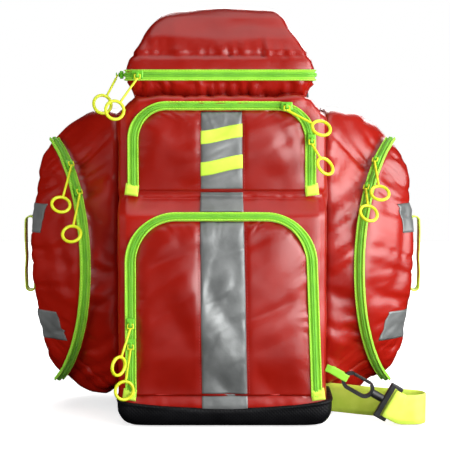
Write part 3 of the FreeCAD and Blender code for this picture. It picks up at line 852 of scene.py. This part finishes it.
def stripe_points(share, z, y, wider=0.0):
    """Points on the stripe: share goes from -1 to 1 across it."""
    x = share * (stripe_half(z) + wider) + stripe_middle(z)
    return np.stack([x.ravel(), np.broadcast_to(y, z.shape).ravel(), z.ravel()], axis=1)


def front_tape(name, points, shape, body, material, nodes=(), thickness=0.5):
    """Thin tape on the bag's front through a grid of points."""
    tape = grid_object(name, points.reshape(*shape, 3))
    turn_out(tape, FRONT)
    thicken(tape, thickness)
    dress(tape, body, (material, material), nodes)


def make_front_stripe(prefix, door, seed):
    """Reflective tape down the middle of a door, with its own soft creases."""
    rows = np.arange(door["bottom"] + 3.0, door["top"] - 5.5, 2.0)
    share, z = np.meshgrid(np.linspace(-1, 1, 27), rows)
    points = stripe_points(share, z, door["face"])
    lift = door_lift(points, door, seed)
    edge = np.clip((1 - np.abs(share.ravel())) * 16, 0, 1)
    points[:, 1] = door["face"] - lift - 0.5 - 0.45 * edge - stripe_crease(points, seed) * edge
    front_tape(prefix + "_stripe", points, z.shape, prefix + "_door", SILVER,
               (prefix + "_door_stripe",))


def make_lime_band(name, centre_z, height, rise, door, seed):
    """A slanted lime tape sewn across the stripe of the upper door."""
    share, v = np.meshgrid(np.linspace(-1, 1, 27), np.linspace(-height / 2, height / 2, 11))
    z = centre_z + v + rise * share / 2 + 1.2 * np.sin(2.2 * share)
    points = stripe_points(share, z, door["face"], 0.2)
    edge = np.clip((height / 2 - np.abs(v.ravel())) / 1.5, 0, 1)
    lift = door_lift(points, door, seed) + 1.35 + 0.4 * edge + stripe_crease(points, seed)
    points[:, 1] = door["face"] - lift
    front_tape(name, points, z.shape, "upper_door", BAND)


def make_low_stripe(column):
    """The reflective tape's last stretch, under the lower door, down into the boot."""
    share, z = np.meshgrid(np.linspace(-1, 1, 27), np.linspace(24.0, 45.0, 13))
    points = drape(stripe_points(share, z, -170.0), column, (0, 1, 0), 0.9)
    front_tape("low_stripe_tape", points, z.shape, "pack", SILVER)


def make_middle_stripe():
    """Reflective tape over the sloping top of the lower compartment."""
    share, z = np.meshgrid(np.linspace(-1, 1, 25), np.linspace(273.5, 296.0, 16))
    points = stripe_points(share, z, -(148.3 - 18 * smooth_step(264, 292, z)))
    points[:, 1] -= 1.1 + groove(points[:, 2] - STEP_Z, 3.5, 3.2) + 0.5 * noise(points, 11, 61)
    front_tape("middle_stripe_tape", points, z.shape, "pack", SILVER,
               ("middle_stripe",), 0.6)


def make_end_tabs():
    """Folded tabs over the bottom ends of the front zips, joined as one piece."""
    points, faces = [], []
    for door in (UPPER, LOWER):
        for side in (-1, 1):
            middle = side * (door["half"] + 2)
            first = len(points)
            rows, columns = 9, 13
            for r in range(rows):
                for c in range(columns):
                    u, v = 2 * c / (columns - 1) - 1, 2 * r / (rows - 1) - 1
                    rim = (1 - abs(u) ** 4) * (1 - abs(v) ** 4)
                    wide = float(lean(np.array(middle), np.array(door["bottom"]), door))
                    x = middle * wide + 8.4 * u - side * 1.1 * v
                    z = door["bottom"] + 1.5 + 7.4 * v + side * 1.2 * u
                    y = door["face"] + 0.8 - 4.9 * rim ** 0.4 - 0.5 * rim * math.sin(5 * v)
                    points.append((x, y, z))
            for quad in grid_faces(rows, columns):
                faces.append(tuple(first + k for k in quad))
    tabs = make_object("zip_tabs", points, faces)
    turn_out(tabs, FRONT)
    return dress(tabs, "pack", (BAND,), ("zip_end_tabs",))


# ---- hood ------------------------------------------------------------------------------------
HOOD_HALF, HOOD_FRONT, HOOD_BACK, ZIP_Z = 122.0, -112.0, 95.0, 443.0
HOOD_RIGHT = 0.955            # the hood leans to the left, so its right half is narrower


def hood_field(p):
    x, y, z = p.T
    half = np.interp(z, [416, 424, 436, 450, 462, 490, 512, 530],
                     [110, 115, 121, 122, 118, 100, 85, 71])
    half = half * np.where(x > 0, HOOD_RIGHT, 1.0)
    front = np.interp(z, [416, 426, 438, 450, 462, 490, 515, 530],
                      [98, 105, 111, 112, 110, 100, 82, 64])
    back = np.interp(z, [416, 450, 530], [95, 95, 92])
    plan = smooth_max([np.abs(x) - half, -y - front, y - back], 6)
    crown = 530.5 - 3 * (x / 80) ** 2 - 3 * ((y - 10) / 80) ** 2
    return smooth_max([plan, z - crown, 405 - z], 3.5)


def hood_around(p):
    """Distance round the hood's plan, starting at the middle of its front."""
    return np.where(p[:, 1] < HOOD_FRONT + 25, p[:, 0],
                    np.sign(p[:, 0]) * (HOOD_HALF + p[:, 1] - HOOD_FRONT))


def make_hood():
    form = star_form("hood_form", (0, -5, 465), (120, 100, 62), hood_field, 3.4, 2.2)
    p = get_points(form)
    x, y, z = p.T
    around = hood_around(p)
    front = smooth_step(70, 40, y)
    strong = 0.45 + 0.55 * smooth_step(-60, 40, x)
    amount = groove(z - 468, 2.6, 2.4) * (z > 455)
    frontal = 1 + 0.5 * smooth_step(-70, -90, y)
    amount += gathers(around, z - 468, 4.2, 15, 19, 71, 0.2) * (z > 468) * strong * frontal
    amount += gathers(around, z - 468, 1.2, 11, 9, 72) * (z < 468) * (z > 452)
    amount += gathers(around, 436 - z, 4.0, 12, 22, 73, 0.25) * (z < 436) * front * frontal
    amount += gathers(around, z - 416, 4.6, 14, 18, 74, 0.25) * (z < 436) * front
    amount += folds(p, (1, 0, 0.15), 130, 30, 2.2, 75) * smooth_step(478, 495, z)
    amount += 0.8 * noise(p, 22, 76)
    push(form, amount)
    tray = copy_of(form, "hood_tray_wall")
    keep_side(tray, (0, 0, ZIP_Z), (0, 0, -1))
    keep_side(tray, (0, 0, 409), (0, 0, 1))
    thicken(tray, FABRIC)
    dress(tray, "pack", (RED, LINING), ("hood_tray",))
    keep_side(form, (0, 0, ZIP_Z), (0, 0, 1))
    form.name = "hood_lid_shell"
    thicken(form, FABRIC)
    dress(form, "hood_lid", (RED_DOOR, LINING), ("hood_lid",))
    return form


def plan_path():
    """Round the hood's plan from its rear left to its rear right, at the height of its zip."""
    half, front, corner = HOOD_HALF, HOOD_FRONT, 15
    points = [(-half, HOOD_BACK - 30, ZIP_Z), (-half, front + corner + 20, ZIP_Z),
              (-half, front + corner, ZIP_Z)]
    for degrees in range(170, 90, -10):
        angle = math.radians(degrees)
        points.append((-half + corner + corner * math.cos(angle),
                       front + corner - corner * math.sin(angle), ZIP_Z))
    points.append((-half + corner, front, ZIP_Z))
    path = np.array(points + [(-px, py, pz) for px, py, pz in reversed(points)])
    path[:, 0] *= np.where(path[:, 0] > 0, HOOD_RIGHT, 1.0)
    return path


def hood_run():
    """The line of the hood's zip, with the ways up and into the hood along it."""
    path = even_path(plan_path(), 3.0)
    up = np.tile([0.0, 0.0, 1.0], (len(path), 1))
    return path, up, unit(np.cross(up, tangents(path)))


def make_hood_trim(lid):
    """Rows of stitching above the zip and along the gathered seam, and a piping at the top.

    The stitches swell into the hood, so most of each row lies just under the fabric.
    """
    path, up, inward = hood_run()
    for row, height in enumerate((11.0, 14.5, 22.5, 28.5)):
        line = drape(path + up * height + inward * 12, lid, -inward, 0.05)
        dress(stitches("hood_stitches_%d" % row, line, inward), "hood_lid",
              (THREAD,))
    across = np.linspace(-72, 68, 48)
    crown = np.stack([across, np.full(48, 84.0), np.full(48, 560.0)], axis=1)
    crown = drape(crown, lid, (0, 0, -1), 1.2)
    side, up = np.tile([0, 1.0, 0], (48, 1)), np.tile([0, 0, 1.0], (48, 1))
    ring = [(1.9 * math.cos(t), 1.9 * math.sin(t)) for t in circle(8)]
    piping = sweep("hood_piping", crown, side, up, ring, closed=True)
    dress(piping, "hood_lid", (BLACK_WEB,))


def make_hood_zip():
    path, up, inward = hood_run()
    make_zip("hood_zip", path, -up, -inward, "hood_lid", ("hood_tray_tape",),
             ("hood_lid_tape",))


# ---- side pockets -------------------------------------------------------------------------------
SLOPE = 0.55
LENGTH = math.hypot(1, SLOPE)
OUTWARD = np.array([1, -SLOPE, 0]) / LENGTH
FORWARD = np.array([-SLOPE, -1, 0]) / LENGTH
POCKET_CENTRE = np.array([263.7, 65.0, 197.0])
POCKET_RADIUS = 183.0
ZIP_POINT = np.array([228.0, 0, 0])     # in the plane between pocket and door
DOME_RISE = 44.0
DOME_RADIUS = (POCKET_RADIUS ** 2 + DOME_RISE ** 2) / (2 * DOME_RISE)
POCKET_MIDDLE = (160.0, 205.0)


def arc_points(first, middle, last, count=24):
    """Points on the circle through three points of the XZ plane."""
    (ax, az), (bx, bz), (cx, cz) = first, middle, last
    d = 2 * (ax * (bz - cz) + bx * (cz - az) + cx * (az - bz))
    a2, b2, c2 = ax * ax + az * az, bx * bx + bz * bz, cx * cx + cz * cz
    x0 = (a2 * (bz - cz) + b2 * (cz - az) + c2 * (az - bz)) / d
    z0 = (a2 * (cx - bx) + b2 * (ax - cx) + c2 * (bx - ax)) / d
    r = math.hypot(ax - x0, az - z0)
    start, end = math.atan2(az - z0, ax - x0), math.atan2(cz - z0, cx - x0)
    return [(x0 + r * math.cos(t), z0 + r * math.sin(t)) for t in np.linspace(start, end, count)]


OUTLINE = np.array([(60, 412), (125, 409)] + arc_points((150, 402), (213, 373), (238, 338))
                   + arc_points((238, 338), (252, 226), (240, 108))
                   + arc_points((240, 108), (219, 47), (176, 17))
                   + [(154, 20), (142, 34), (125, 36), (60, 36)])
OUTLINE_ANGLE = np.arctan2(OUTLINE[:, 1] - POCKET_MIDDLE[1], OUTLINE[:, 0] - POCKET_MIDDLE[0])
OUTLINE_REACH = np.hypot(OUTLINE[:, 1] - POCKET_MIDDLE[1], OUTLINE[:, 0] - POCKET_MIDDLE[0])


def outline_value(x, z):
    dx, dz = x - POCKET_MIDDLE[0], z - POCKET_MIDDLE[1]
    reach = np.interp(np.arctan2(dz, dx), OUTLINE_ANGLE[::-1], OUTLINE_REACH[::-1])
    return np.hypot(dx, dz) - reach


def zip_offset(p):
    return (p - ZIP_POINT) @ OUTWARD


def pocket_field(p):
    x, y, z = p.T
    s = zip_offset(p)
    along = (p - POCKET_CENTRE) @ FORWARD
    band = np.hypot(along, z - 197) - POCKET_RADIUS
    deep = POCKET_RADIUS / LENGTH
    inner = smooth_step(-11, -60, s)
    tall = POCKET_RADIUS + np.where(z > 197, 27 * inner, 0)
    power = 2 + 2.8 * inner
    across, up = np.abs(y - 69.8) / deep, np.abs(z - 197) / tall
    drum = ((across ** power + up ** power) ** (1 / power) - 1) * deep
    radial = np.where(s > -10, band, drum)
    dome_centre = POCKET_CENTRE + OUTWARD * (50 - DOME_RADIUS)
    dome = np.linalg.norm(p - dome_centre, axis=1) - DOME_RADIUS
    body = smooth_max([radial, outline_value(x, z)], 6)
    body = smooth_max([body, dome], 2.5)
    return smooth_max([body, y - 99, 131.2 - x], 5)


def along_front(y):
    """1 where the side zips run, 0 behind their ends."""
    return smooth_step(20, -10, y)


def mirror_x(piece):
    set_points(piece, get_points(piece) * [-1, 1, 1])
    with editing(piece) as mesh:
        bmesh.ops.reverse_faces(mesh, faces=mesh.faces[:])


def make_pocket(side, sign, seed):
    form = star_form(side + "_pocket_form", (186, 20, 205), (64, 76, 188), pocket_field, 4.0, 2.6)
    p = get_points(form)
    x, y, z = p.T
    s = zip_offset(p)
    angle = np.degrees(np.arctan2(z - 197, (p - POCKET_CENTRE) @ FORWARD))
    around = np.radians(angle) * POCKET_RADIUS
    front = smooth_step(60, 20, y)
    amount = front * gathers(around, s + 8, 3.2, 17, 26, seed) * (s < -3)
    amount += front * gathers(around, s - 6, 2.8, 15, 22, seed + 3) * (s > 3)
    amount += folds(p, (1, 0, 0.75), 130, 26, 5.0, seed + 5) * (s < 0) * smooth_step(150, 230, z)
    amount += folds(p, (1, 0, -0.35), 120, 28, 4.4, seed + 6) * (s < 0) * smooth_step(230, 150, z)
    lower, upper = smooth_step(210, 150, z), smooth_step(150, 210, z)
    amount += creases(p, (1, 0, -0.8), 95, 19, 4.0, seed + 21) * (s < 0) * lower
    amount += (creases(p, (1, 0, 0.9), 95, 22, 1.2, seed + 22) * (s < 0) * upper
               * smooth_step(360, 320, z))
    amount += creases(p, (1, 0, -0.3), 80, 17, 2.8, seed + 23) * (s > 0)
    amount += folds(p, (0.2, 0, 1), 130, 34, 2.4, seed + 7) * (s > 0)
    amount += groove(angle - 44, 2.4, 0.9) * (s < -4) * front
    amount += groove(angle + 44, 2.4, 0.9) * (s < -4) * front
    amount += gathers(z, x - 134, 2.2, 19, 18, seed + 9) * (x < 170) * front
    amount += 0.9 * noise(p, 20, seed + 11)
    amount *= 1 - 0.6 * smooth_step(315, 365, z)
    near_zip = np.exp(-(s / 11.0) ** 4) * (along_front(y) > 0)
    amount = (amount * (1 - near_zip) - 1.1 * near_zip) * smooth_step(131, 138, x)
    push(form, amount)
    if sign < 0:
        mirror_x(form)
    flip = np.array([sign, 1, 1])
    door = copy_of(form, side + "_pocket_door_panel")
    plane = ZIP_POINT * flip
    keep_side(door, plane + OUTWARD * flip * 0.5, OUTWARD * flip)
    keep_side(form, plane + OUTWARD * flip * 0.5, -OUTWARD * flip)
    form.name = side + "_pocket_gusset"
    thicken(form, FABRIC)
    thicken(door, FABRIC)
    dress(form, "pack", (RED, LINING), (side + "_pocket_shell",))
    dress(door, side + "_pocket_door", (RED, LINING), (side + "_pocket_door",))
    return form, door


def make_side_zip(side, sign):
    flip = np.array([sign, 1, 1])
    angles = np.radians(np.linspace(-60, 63, 141))
    radial = np.cos(angles)[:, None] * FORWARD + np.sin(angles)[:, None] * np.array([0, 0, 1.0])
    path = (POCKET_CENTRE + radial * POCKET_RADIUS) * flip
    lift = radial * flip
    across = np.tile(-OUTWARD * flip, (len(path), 1))
    nodes = ("side_zip_frame_tapes",) if side == "right" else ()
    make_zip(side + "_side_zip", path, across, lift, side + "_pocket_door",
             nodes, (side + "_pocket_door_tape",))


# ---- webbing, patches and harness ---------------------------------------------------------------
def flat_section(width, thick):
    """Cross-section of webbing: thin, with rounded selvedges."""
    half, t = width / 2, thick / 2
    ring = [(-half, 0), (-half + 0.5, t * 0.9), (-half * 0.6, t), (0, t * 0.92), (half * 0.6, t),
            (half - 0.5, t * 0.9), (half, 0)]
    return ring + [(a, -b) for a, b in reversed(ring[1:-1])]


def belt(name, points, across, width, thick, spacing=3.0):
    """Webbing along a path; across gives its flat direction at each control point."""
    points = np.asarray(points, float)
    lengths = run_lengths(points)
    path = even_path(points, spacing)
    at = np.linspace(0, lengths[-1], len(path))
    flat = interpolate(at, lengths, np.asarray(across, float))
    along = tangents(path)
    flat = unit(flat - along * (flat * along).sum(axis=1, keepdims=True))
    section = flat_section(width, thick)
    piece = sweep(name, path, flat, np.cross(along, flat), section, closed=True)
    with editing(piece) as mesh:
        count, last = len(section), len(mesh.verts) - len(section)
        for at_end in (lambda v: v.index < count, lambda v: v.index >= last):
            rim = [e for e in mesh.edges if e.is_boundary and all(at_end(v) for v in e.verts)]
            bmesh.ops.contextual_create(mesh, geom=rim)
        bmesh.ops.recalc_face_normals(mesh, faces=mesh.faces[:])
    return piece


def arc_run(centre, radius, start, end, count=9):
    """Points on a circle in a plane given by (first axis, second axis), in degrees."""
    centre, first, second = (np.array(v, float) for v in centre)
    return [centre + radius * (math.cos(t) * first + math.sin(t) * second)
            for t in np.radians(np.linspace(start, end, count))]


def make_side_handle(side, sign):
    low, high = mm_box(side + "_side_handle")
    y = (low[1] + high[1]) / 2
    root, crown = sorted((abs(low[0]), abs(high[0])))
    top, foot, r = high[2] - 1, low[2] + 1, 5.5
    x_axis, z_axis = (sign, 0, 0), (0, 0, 1)
    outer = sign * (crown - 1)
    points = [np.array([sign * (root + 0.6), y, top - 13]),
              np.array([sign * (root + 1.2), y, top - 4])]
    points += [np.array([sign * (root + 3.2), y, top])]
    points += arc_run(((outer - sign * r, y, top - r), x_axis, z_axis), r, 90, 0)
    middle = (top + foot) / 2
    points += [np.array([outer, y, middle + 25]), np.array([outer - sign * 0.6, y, middle]),
               np.array([outer, y, middle - 25])]
    points += arc_run(((outer - sign * r, y, foot + r), x_axis, z_axis), r, 0, -90)
    points += [np.array([sign * (root + 3.2), y, foot]),
               np.array([sign * (root + 1.2), y, foot + 4]),
               np.array([sign * (root + 0.6), y, foot + 13])]
    handle = belt(side + "_webbing_handle", points, [(0, 1, 0)] * len(points), 23.5, 1.9, 1.8)
    p = get_points(handle)
    p[:, 0] += sign * 0.35 * line_noise(p[:, 2], 18, 301)
    set_points(handle, p)
    dress(handle, side + "_pocket_door", (LIME_WEB,), (side + "_side_handle",))


def make_patches(side, sign, door):
    """Two reflective patches wrapped on the door's flank, joined as one piece."""
    low, high = mm_box(side + "_pocket_patches")
    points, faces = [], []
    for z0, z1, front in ((low[2], low[2] + 38, -66.0), (high[2] - 38, high[2], -50.0)):
        rows, columns = 15, 31
        z, y = np.meshgrid(np.linspace(z0, z1, rows), np.linspace(front, 20, columns),
                           indexing="ij")
        grid = np.stack([np.full(z.size, sign * 262.0), y.ravel(), z.ravel()], axis=1)
        way = np.array([-sign * 1.0, 0, 0])
        edge = np.minimum(np.minimum(z.ravel() - z0, z1 - z.ravel()), 3) / 3
        laid = drape(grid, door, way, 0.8) - way * (0.4 * edge)[:, None]
        first = len(points)
        points += list(laid)
        faces += [tuple(first + k for k in quad) for quad in grid_faces(rows, columns)]
    patches = make_object(side + "_reflective_patches", points, faces)
    turn_out(patches, np.array([[sign, 0.0, 0]]))
    thicken(patches, 0.5)
    dress(patches, side + "_pocket_door", (SILVER, SILVER),
          (side + "_pocket_patches",))


HOOK_POST, HOOK_TILT = np.array([202.0, -136.0, 36.0]), math.radians(30)
HOOK_X = np.array([math.cos(HOOK_TILT), 0, -math.sin(HOOK_TILT)])
HOOK_Z = np.array([math.sin(HOOK_TILT), 0, math.cos(HOOK_TILT)])


def at_hook(x, y, z=0.0):
    return HOOK_POST + HOOK_X * x + np.array([0, y, 0]) + HOOK_Z * z


def make_tether():
    """Lime webbing: round the hook's eye, out to the right, round and back into the boot."""
    turns = [at_hook(26, 1.6), at_hook(20, 3.0), at_hook(16, 4.9), at_hook(11.6, 4.3),
             at_hook(9.9, 0.0),
             at_hook(11.6, -4.3), at_hook(16, -4.9), at_hook(21, -3.2), at_hook(28, -1.5)]
    run = [(236, -137.3, 22), (243, -137.0, 22)]
    sweep_round = [(250.5, -134.0, 22), (256.0, -128.0, 22), (258.3, -120.5, 22),
                   (256.0, -111.5, 22),
                   (250, -105.5, 22), (243, -102.0, 22)]
    back = [(215, -91.5, 21.8), (185, -78, 21.6), (158, -64, 21.8), (134, -52.5, 22)]
    points = turns + [np.array(v, float) for v in run + sweep_round + back]
    across = [HOOK_Z] * 8 + [HOOK_Z * 0.6 + np.array([0, 0, 0.4])] + [np.array([0, 0, 1.0])] * 12
    strap = belt("tether_webbing", points, across, 38, 1.8, 2.5)
    p = get_points(strap)
    past_hook = smooth_step(232, 246, np.abs(p[:, 0] + p[:, 1] * 0.2))
    p[:, 1] += 1.2 * line_noise(p[:, 0], 34, 311) * past_hook
    p[:, 2] = np.maximum(p[:, 2], 1.0)
    set_points(strap, p)
    dress(strap, "pack", (LIME_WEB,), ("tether_strap",))


def make_hook_tab():
    """Narrow green loop from the column's lower corner through the far end of the hook."""
    points = [at_hook(-82, -2.5, -1), at_hook(-76, -4.4), at_hook(-66, -5.0), at_hook(-57, -5.0)]
    points += [at_hook(-55.8 + 4.9 * math.sin(t), -4.9 * math.cos(t))
               for t in np.radians([20, 55, 90, 125, 160])]
    points += [at_hook(-57, 5.0), at_hook(-66, 5.0), at_hook(-74, 4.6)]
    tab = belt("hook_tab_webbing", points, [HOOK_Z] * len(points), 9.5, 1.4, 1.2)
    dress(tab, "pack", (TAPE,), ("hook_tab",))


def panel_field(p):
    x, y, z = p.T
    rim = smooth_max([np.abs(x) - 122, z - 440, 30 - z], 9)
    return smooth_max([rim, y - 127.5, 112.6 - y], 2.2)


def make_back_panel():
    panel = star_form("padded_back", (0, 120, 235), (122, 7.5, 205), panel_field, 3.6, 2.0)
    p = get_points(panel)
    x, y, z = p.T
    rear = y > 121
    amount = groove(np.abs(x) - 19, 3.2, 3.0) + groove(np.abs(x) - 96, 2.4, 3.0)
    for level in (92, 160, 228, 296, 364):
        amount += groove(z - level, 2.6, 3.2) * (np.abs(x) > 19) * (np.abs(x) < 96)
    amount += 0.4 * noise(p, 30, 321)
    push(panel, amount * rear)
    dress(panel, "pack", (BLACK_MESH,), ("back_panel",))


STRAP_X = 68                            # middle of each shoulder strap


def strap_line(count):
    """Middle line of a shoulder strap, from the top of the back panel to its free end."""
    near = np.array(arc_points((418, 128.1), (300, 176), (150, 150), count))
    far = np.array(arc_points((434, 128.1), (302, 190), (150, 164), count))
    middle = (near + far) / 2
    return middle[:, 1], middle[:, 0]


def make_shoulder_straps():
    points, faces = [], []
    rows, columns = 90, 28
    y, z = strap_line(rows)
    along = unit(np.gradient(np.stack([y, z], axis=1), axis=0))
    out_y, out_z = along[:, 1], -along[:, 0]
    flip = -1 if out_y.mean() < 0 else 1
    share = np.linspace(0, 1, rows)
    for sign in (-1, 1):
        first = len(points)
        for r in range(rows):
            taper = min(1.0, share[r] / 0.03 + 0.55, (1 - share[r]) / 0.05 + 0.5)
            width = (31.5 - 4 * share[r]) * (0.72 + 0.28 * min(1, taper))
            thick = 6.2 * taper
            for c in range(columns):
                t = 2 * math.pi * c / columns
                a = math.copysign(abs(math.cos(t)) ** 0.55, math.cos(t))
                b = math.copysign(abs(math.sin(t)) ** 0.8, math.sin(t))
                quilt = 1.1 * math.exp(-((abs(a) - 0.45) / 0.07) ** 2) * (b > 0)
                lift = (thick * b - quilt * thick / 6.2) * flip
                points.append((sign * STRAP_X + width * a, y[r] + out_y[r] * lift,
                               z[r] + out_z[r] * lift))
        faces += [tuple(first + k for k in quad) for quad in grid_faces(rows, columns, closed=True)]
        faces.append(tuple(first + k for k in range(columns)))
        faces.append(tuple(first + (rows - 1) * columns + k for k in range(columns)))
    straps = make_object("padded_shoulder_straps", points, faces)
    with editing(straps) as mesh:
        bmesh.ops.recalc_face_normals(mesh, faces=mesh.faces[:])
    p = get_points(straps)
    p[:, 1] = np.maximum(p[:, 1], 128.3)
    set_points(straps, p)
    dress(straps, "pack", (BLACK_MESH,), ("shoulder_straps",))
    for sign in (-1, 1):
        name = "right" if sign > 0 else "left"
        run = [(sign * STRAP_X, y[r] + out_y[r] * 7.4 * flip, z[r] + out_z[r] * 7.4 * flip)
               for r in range(6, 88, 3)]
        top = belt(name + "_strap_webbing", run, [(1, 0, 0)] * len(run), 24, 1.6)
        dress(top, "pack", (BLACK_WEB,))


def make_strap_tails():
    run = [(155.5, 148), (155.2, 140), (156.6, 134), (154.8, 127), (150, 112), (141, 78),
           (133.5, 50),
           (130.2, 42), (129.3, 36)]
    for sign in (-1, 1):
        name = ("right" if sign > 0 else "left") + "_strap_tail"
        points = [(sign * STRAP_X, y, z) for y, z in run]
        tail = belt(name, points, [(1, 0, 0)] * len(points), 25, 1.9)
        dress(tail, "pack", (BLACK_WEB,), ("strap_tails",) if sign > 0 else ())


def make_haul_handle():
    y = 137.0
    half, r = 25.5, 9.0
    top, foot = 435.0, 400.5
    x_axis, z_axis = (1, 0, 0), (0, 0, 1)
    points = [np.array([-half, y, top]), np.array([-half - 0.6, y, (top + foot) / 2])]
    points += arc_run(((-half + r, y, foot + r), x_axis, z_axis), r, 180, 270)
    points += [np.array([0, y, foot - 0.4])]
    points += arc_run(((half - r, y, foot + r), x_axis, z_axis), r, 270, 360)
    points += [np.array([half + 0.6, y, (top + foot) / 2]), np.array([half, y, top])]
    loop = belt("haul_webbing", points, [(0, 1, 0)] * len(points), 12, 2.6, 1.8)
    dress(loop, "haul_handle", (BLACK_WEB,), ("haul_handle",))
    rows, columns = 30, 24
    grid = np.zeros((rows, columns, 3))
    for r_index, x in enumerate(np.linspace(-17, 17, rows)):
        swell = 7.4 * (1 - abs(x / 17.3) ** 5) ** 0.5 - 0.35 * math.sin(x * 1.1)
        for c in range(columns):
            t = 2 * math.pi * c / columns
            seam = 0.8 * math.exp(-((math.degrees(t) - 270) / 9) ** 2)
            grid[r_index, c] = (x, y + (swell - seam) * math.cos(t),
                                foot + (swell - seam) * math.sin(t))
    grip = grid_object("haul_grip", grid, closed=True)
    turn_out(grip, unit(get_points(grip) - np.array([0, y, foot])))
    dress(grip, "haul_handle", (BLACK_MESH,))
    points = [(x, 129.4 + 0.5 * math.cos(x / 5), 431) for x in np.linspace(-34, 34, 24)]
    anchor = belt("haul_anchor_webbing", points, [(0, 0, 1)] * 24, 12, 2.0)
    dress(anchor, "pack", (BLACK_WEB,), ("haul_anchor",))


def divider_field(p):
    x, y, z = p.T
    rim = smooth_max([np.abs(x) - 126, -y - 113, y - 103], 8)
    return smooth_max([rim, z - 299.2, 294.4 - z], 1.0)


def make_divider():
    shelf = star_form("padded_shelf", (0, -5, 296.8), (126, 108, 2.6), divider_field, 5.0, 2.0)
    p = get_points(shelf)
    quilt = groove((p[:, 0] + p[:, 1]) % 60 - 30, 0.8, 2.2)
    quilt += groove((p[:, 0] - p[:, 1]) % 60 - 30, 0.8, 2.2)
    push(shelf, quilt)
    dress(shelf, "pack", (LINING,), ("compartment_divider",))


# ---- the CAD pieces that stay ---------------------------------------------------------------
def paint_kept_nodes():
    """Finish of the sliders, the pulls, the hook, the ladder locks and the sheet in the back."""
    for name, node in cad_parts.items():
        if node.hide_render:
            continue
        if name.endswith("_slider"):
            finish = SLIDER
        elif name.endswith("_pull"):
            finish = PULL
        elif name in ("hook_body", "hook_gate", "hook_eye", "ladder_locks"):
            finish = PLASTIC
        else:
            finish = FOAM
        node.data.materials.clear()
        node.data.materials.append(finish)


make_camera()
make_stage()
make_low_stripe(make_column())
make_boot()
for prefix, outline, seed in (("upper", UPPER, 101), ("lower", LOWER, 131)):
    make_door(prefix, outline, seed)
    make_front_stripe(prefix, outline, seed)
make_lime_band("upper_lime_band", 369.5, 16.5, 7.0, UPPER, 101)
make_lime_band("lower_lime_band", 330.5, 17.5, 8.0, UPPER, 101)
make_middle_stripe()
make_end_tabs()
make_hood_trim(make_hood())
make_hood_zip()
for side, sign, seed in (("right", 1, 201), ("left", -1, 231)):
    gusset, door = make_pocket(side, sign, seed)
    make_side_zip(side, sign)
    make_patches(side, sign, door)
    make_side_handle(side, sign)
make_tether()
make_hook_tab()
make_back_panel()
make_shoulder_straps()
make_strap_tails()
make_haul_handle()
make_divider()
paint_kept_nodes()

bpy.context.view_layer.update()
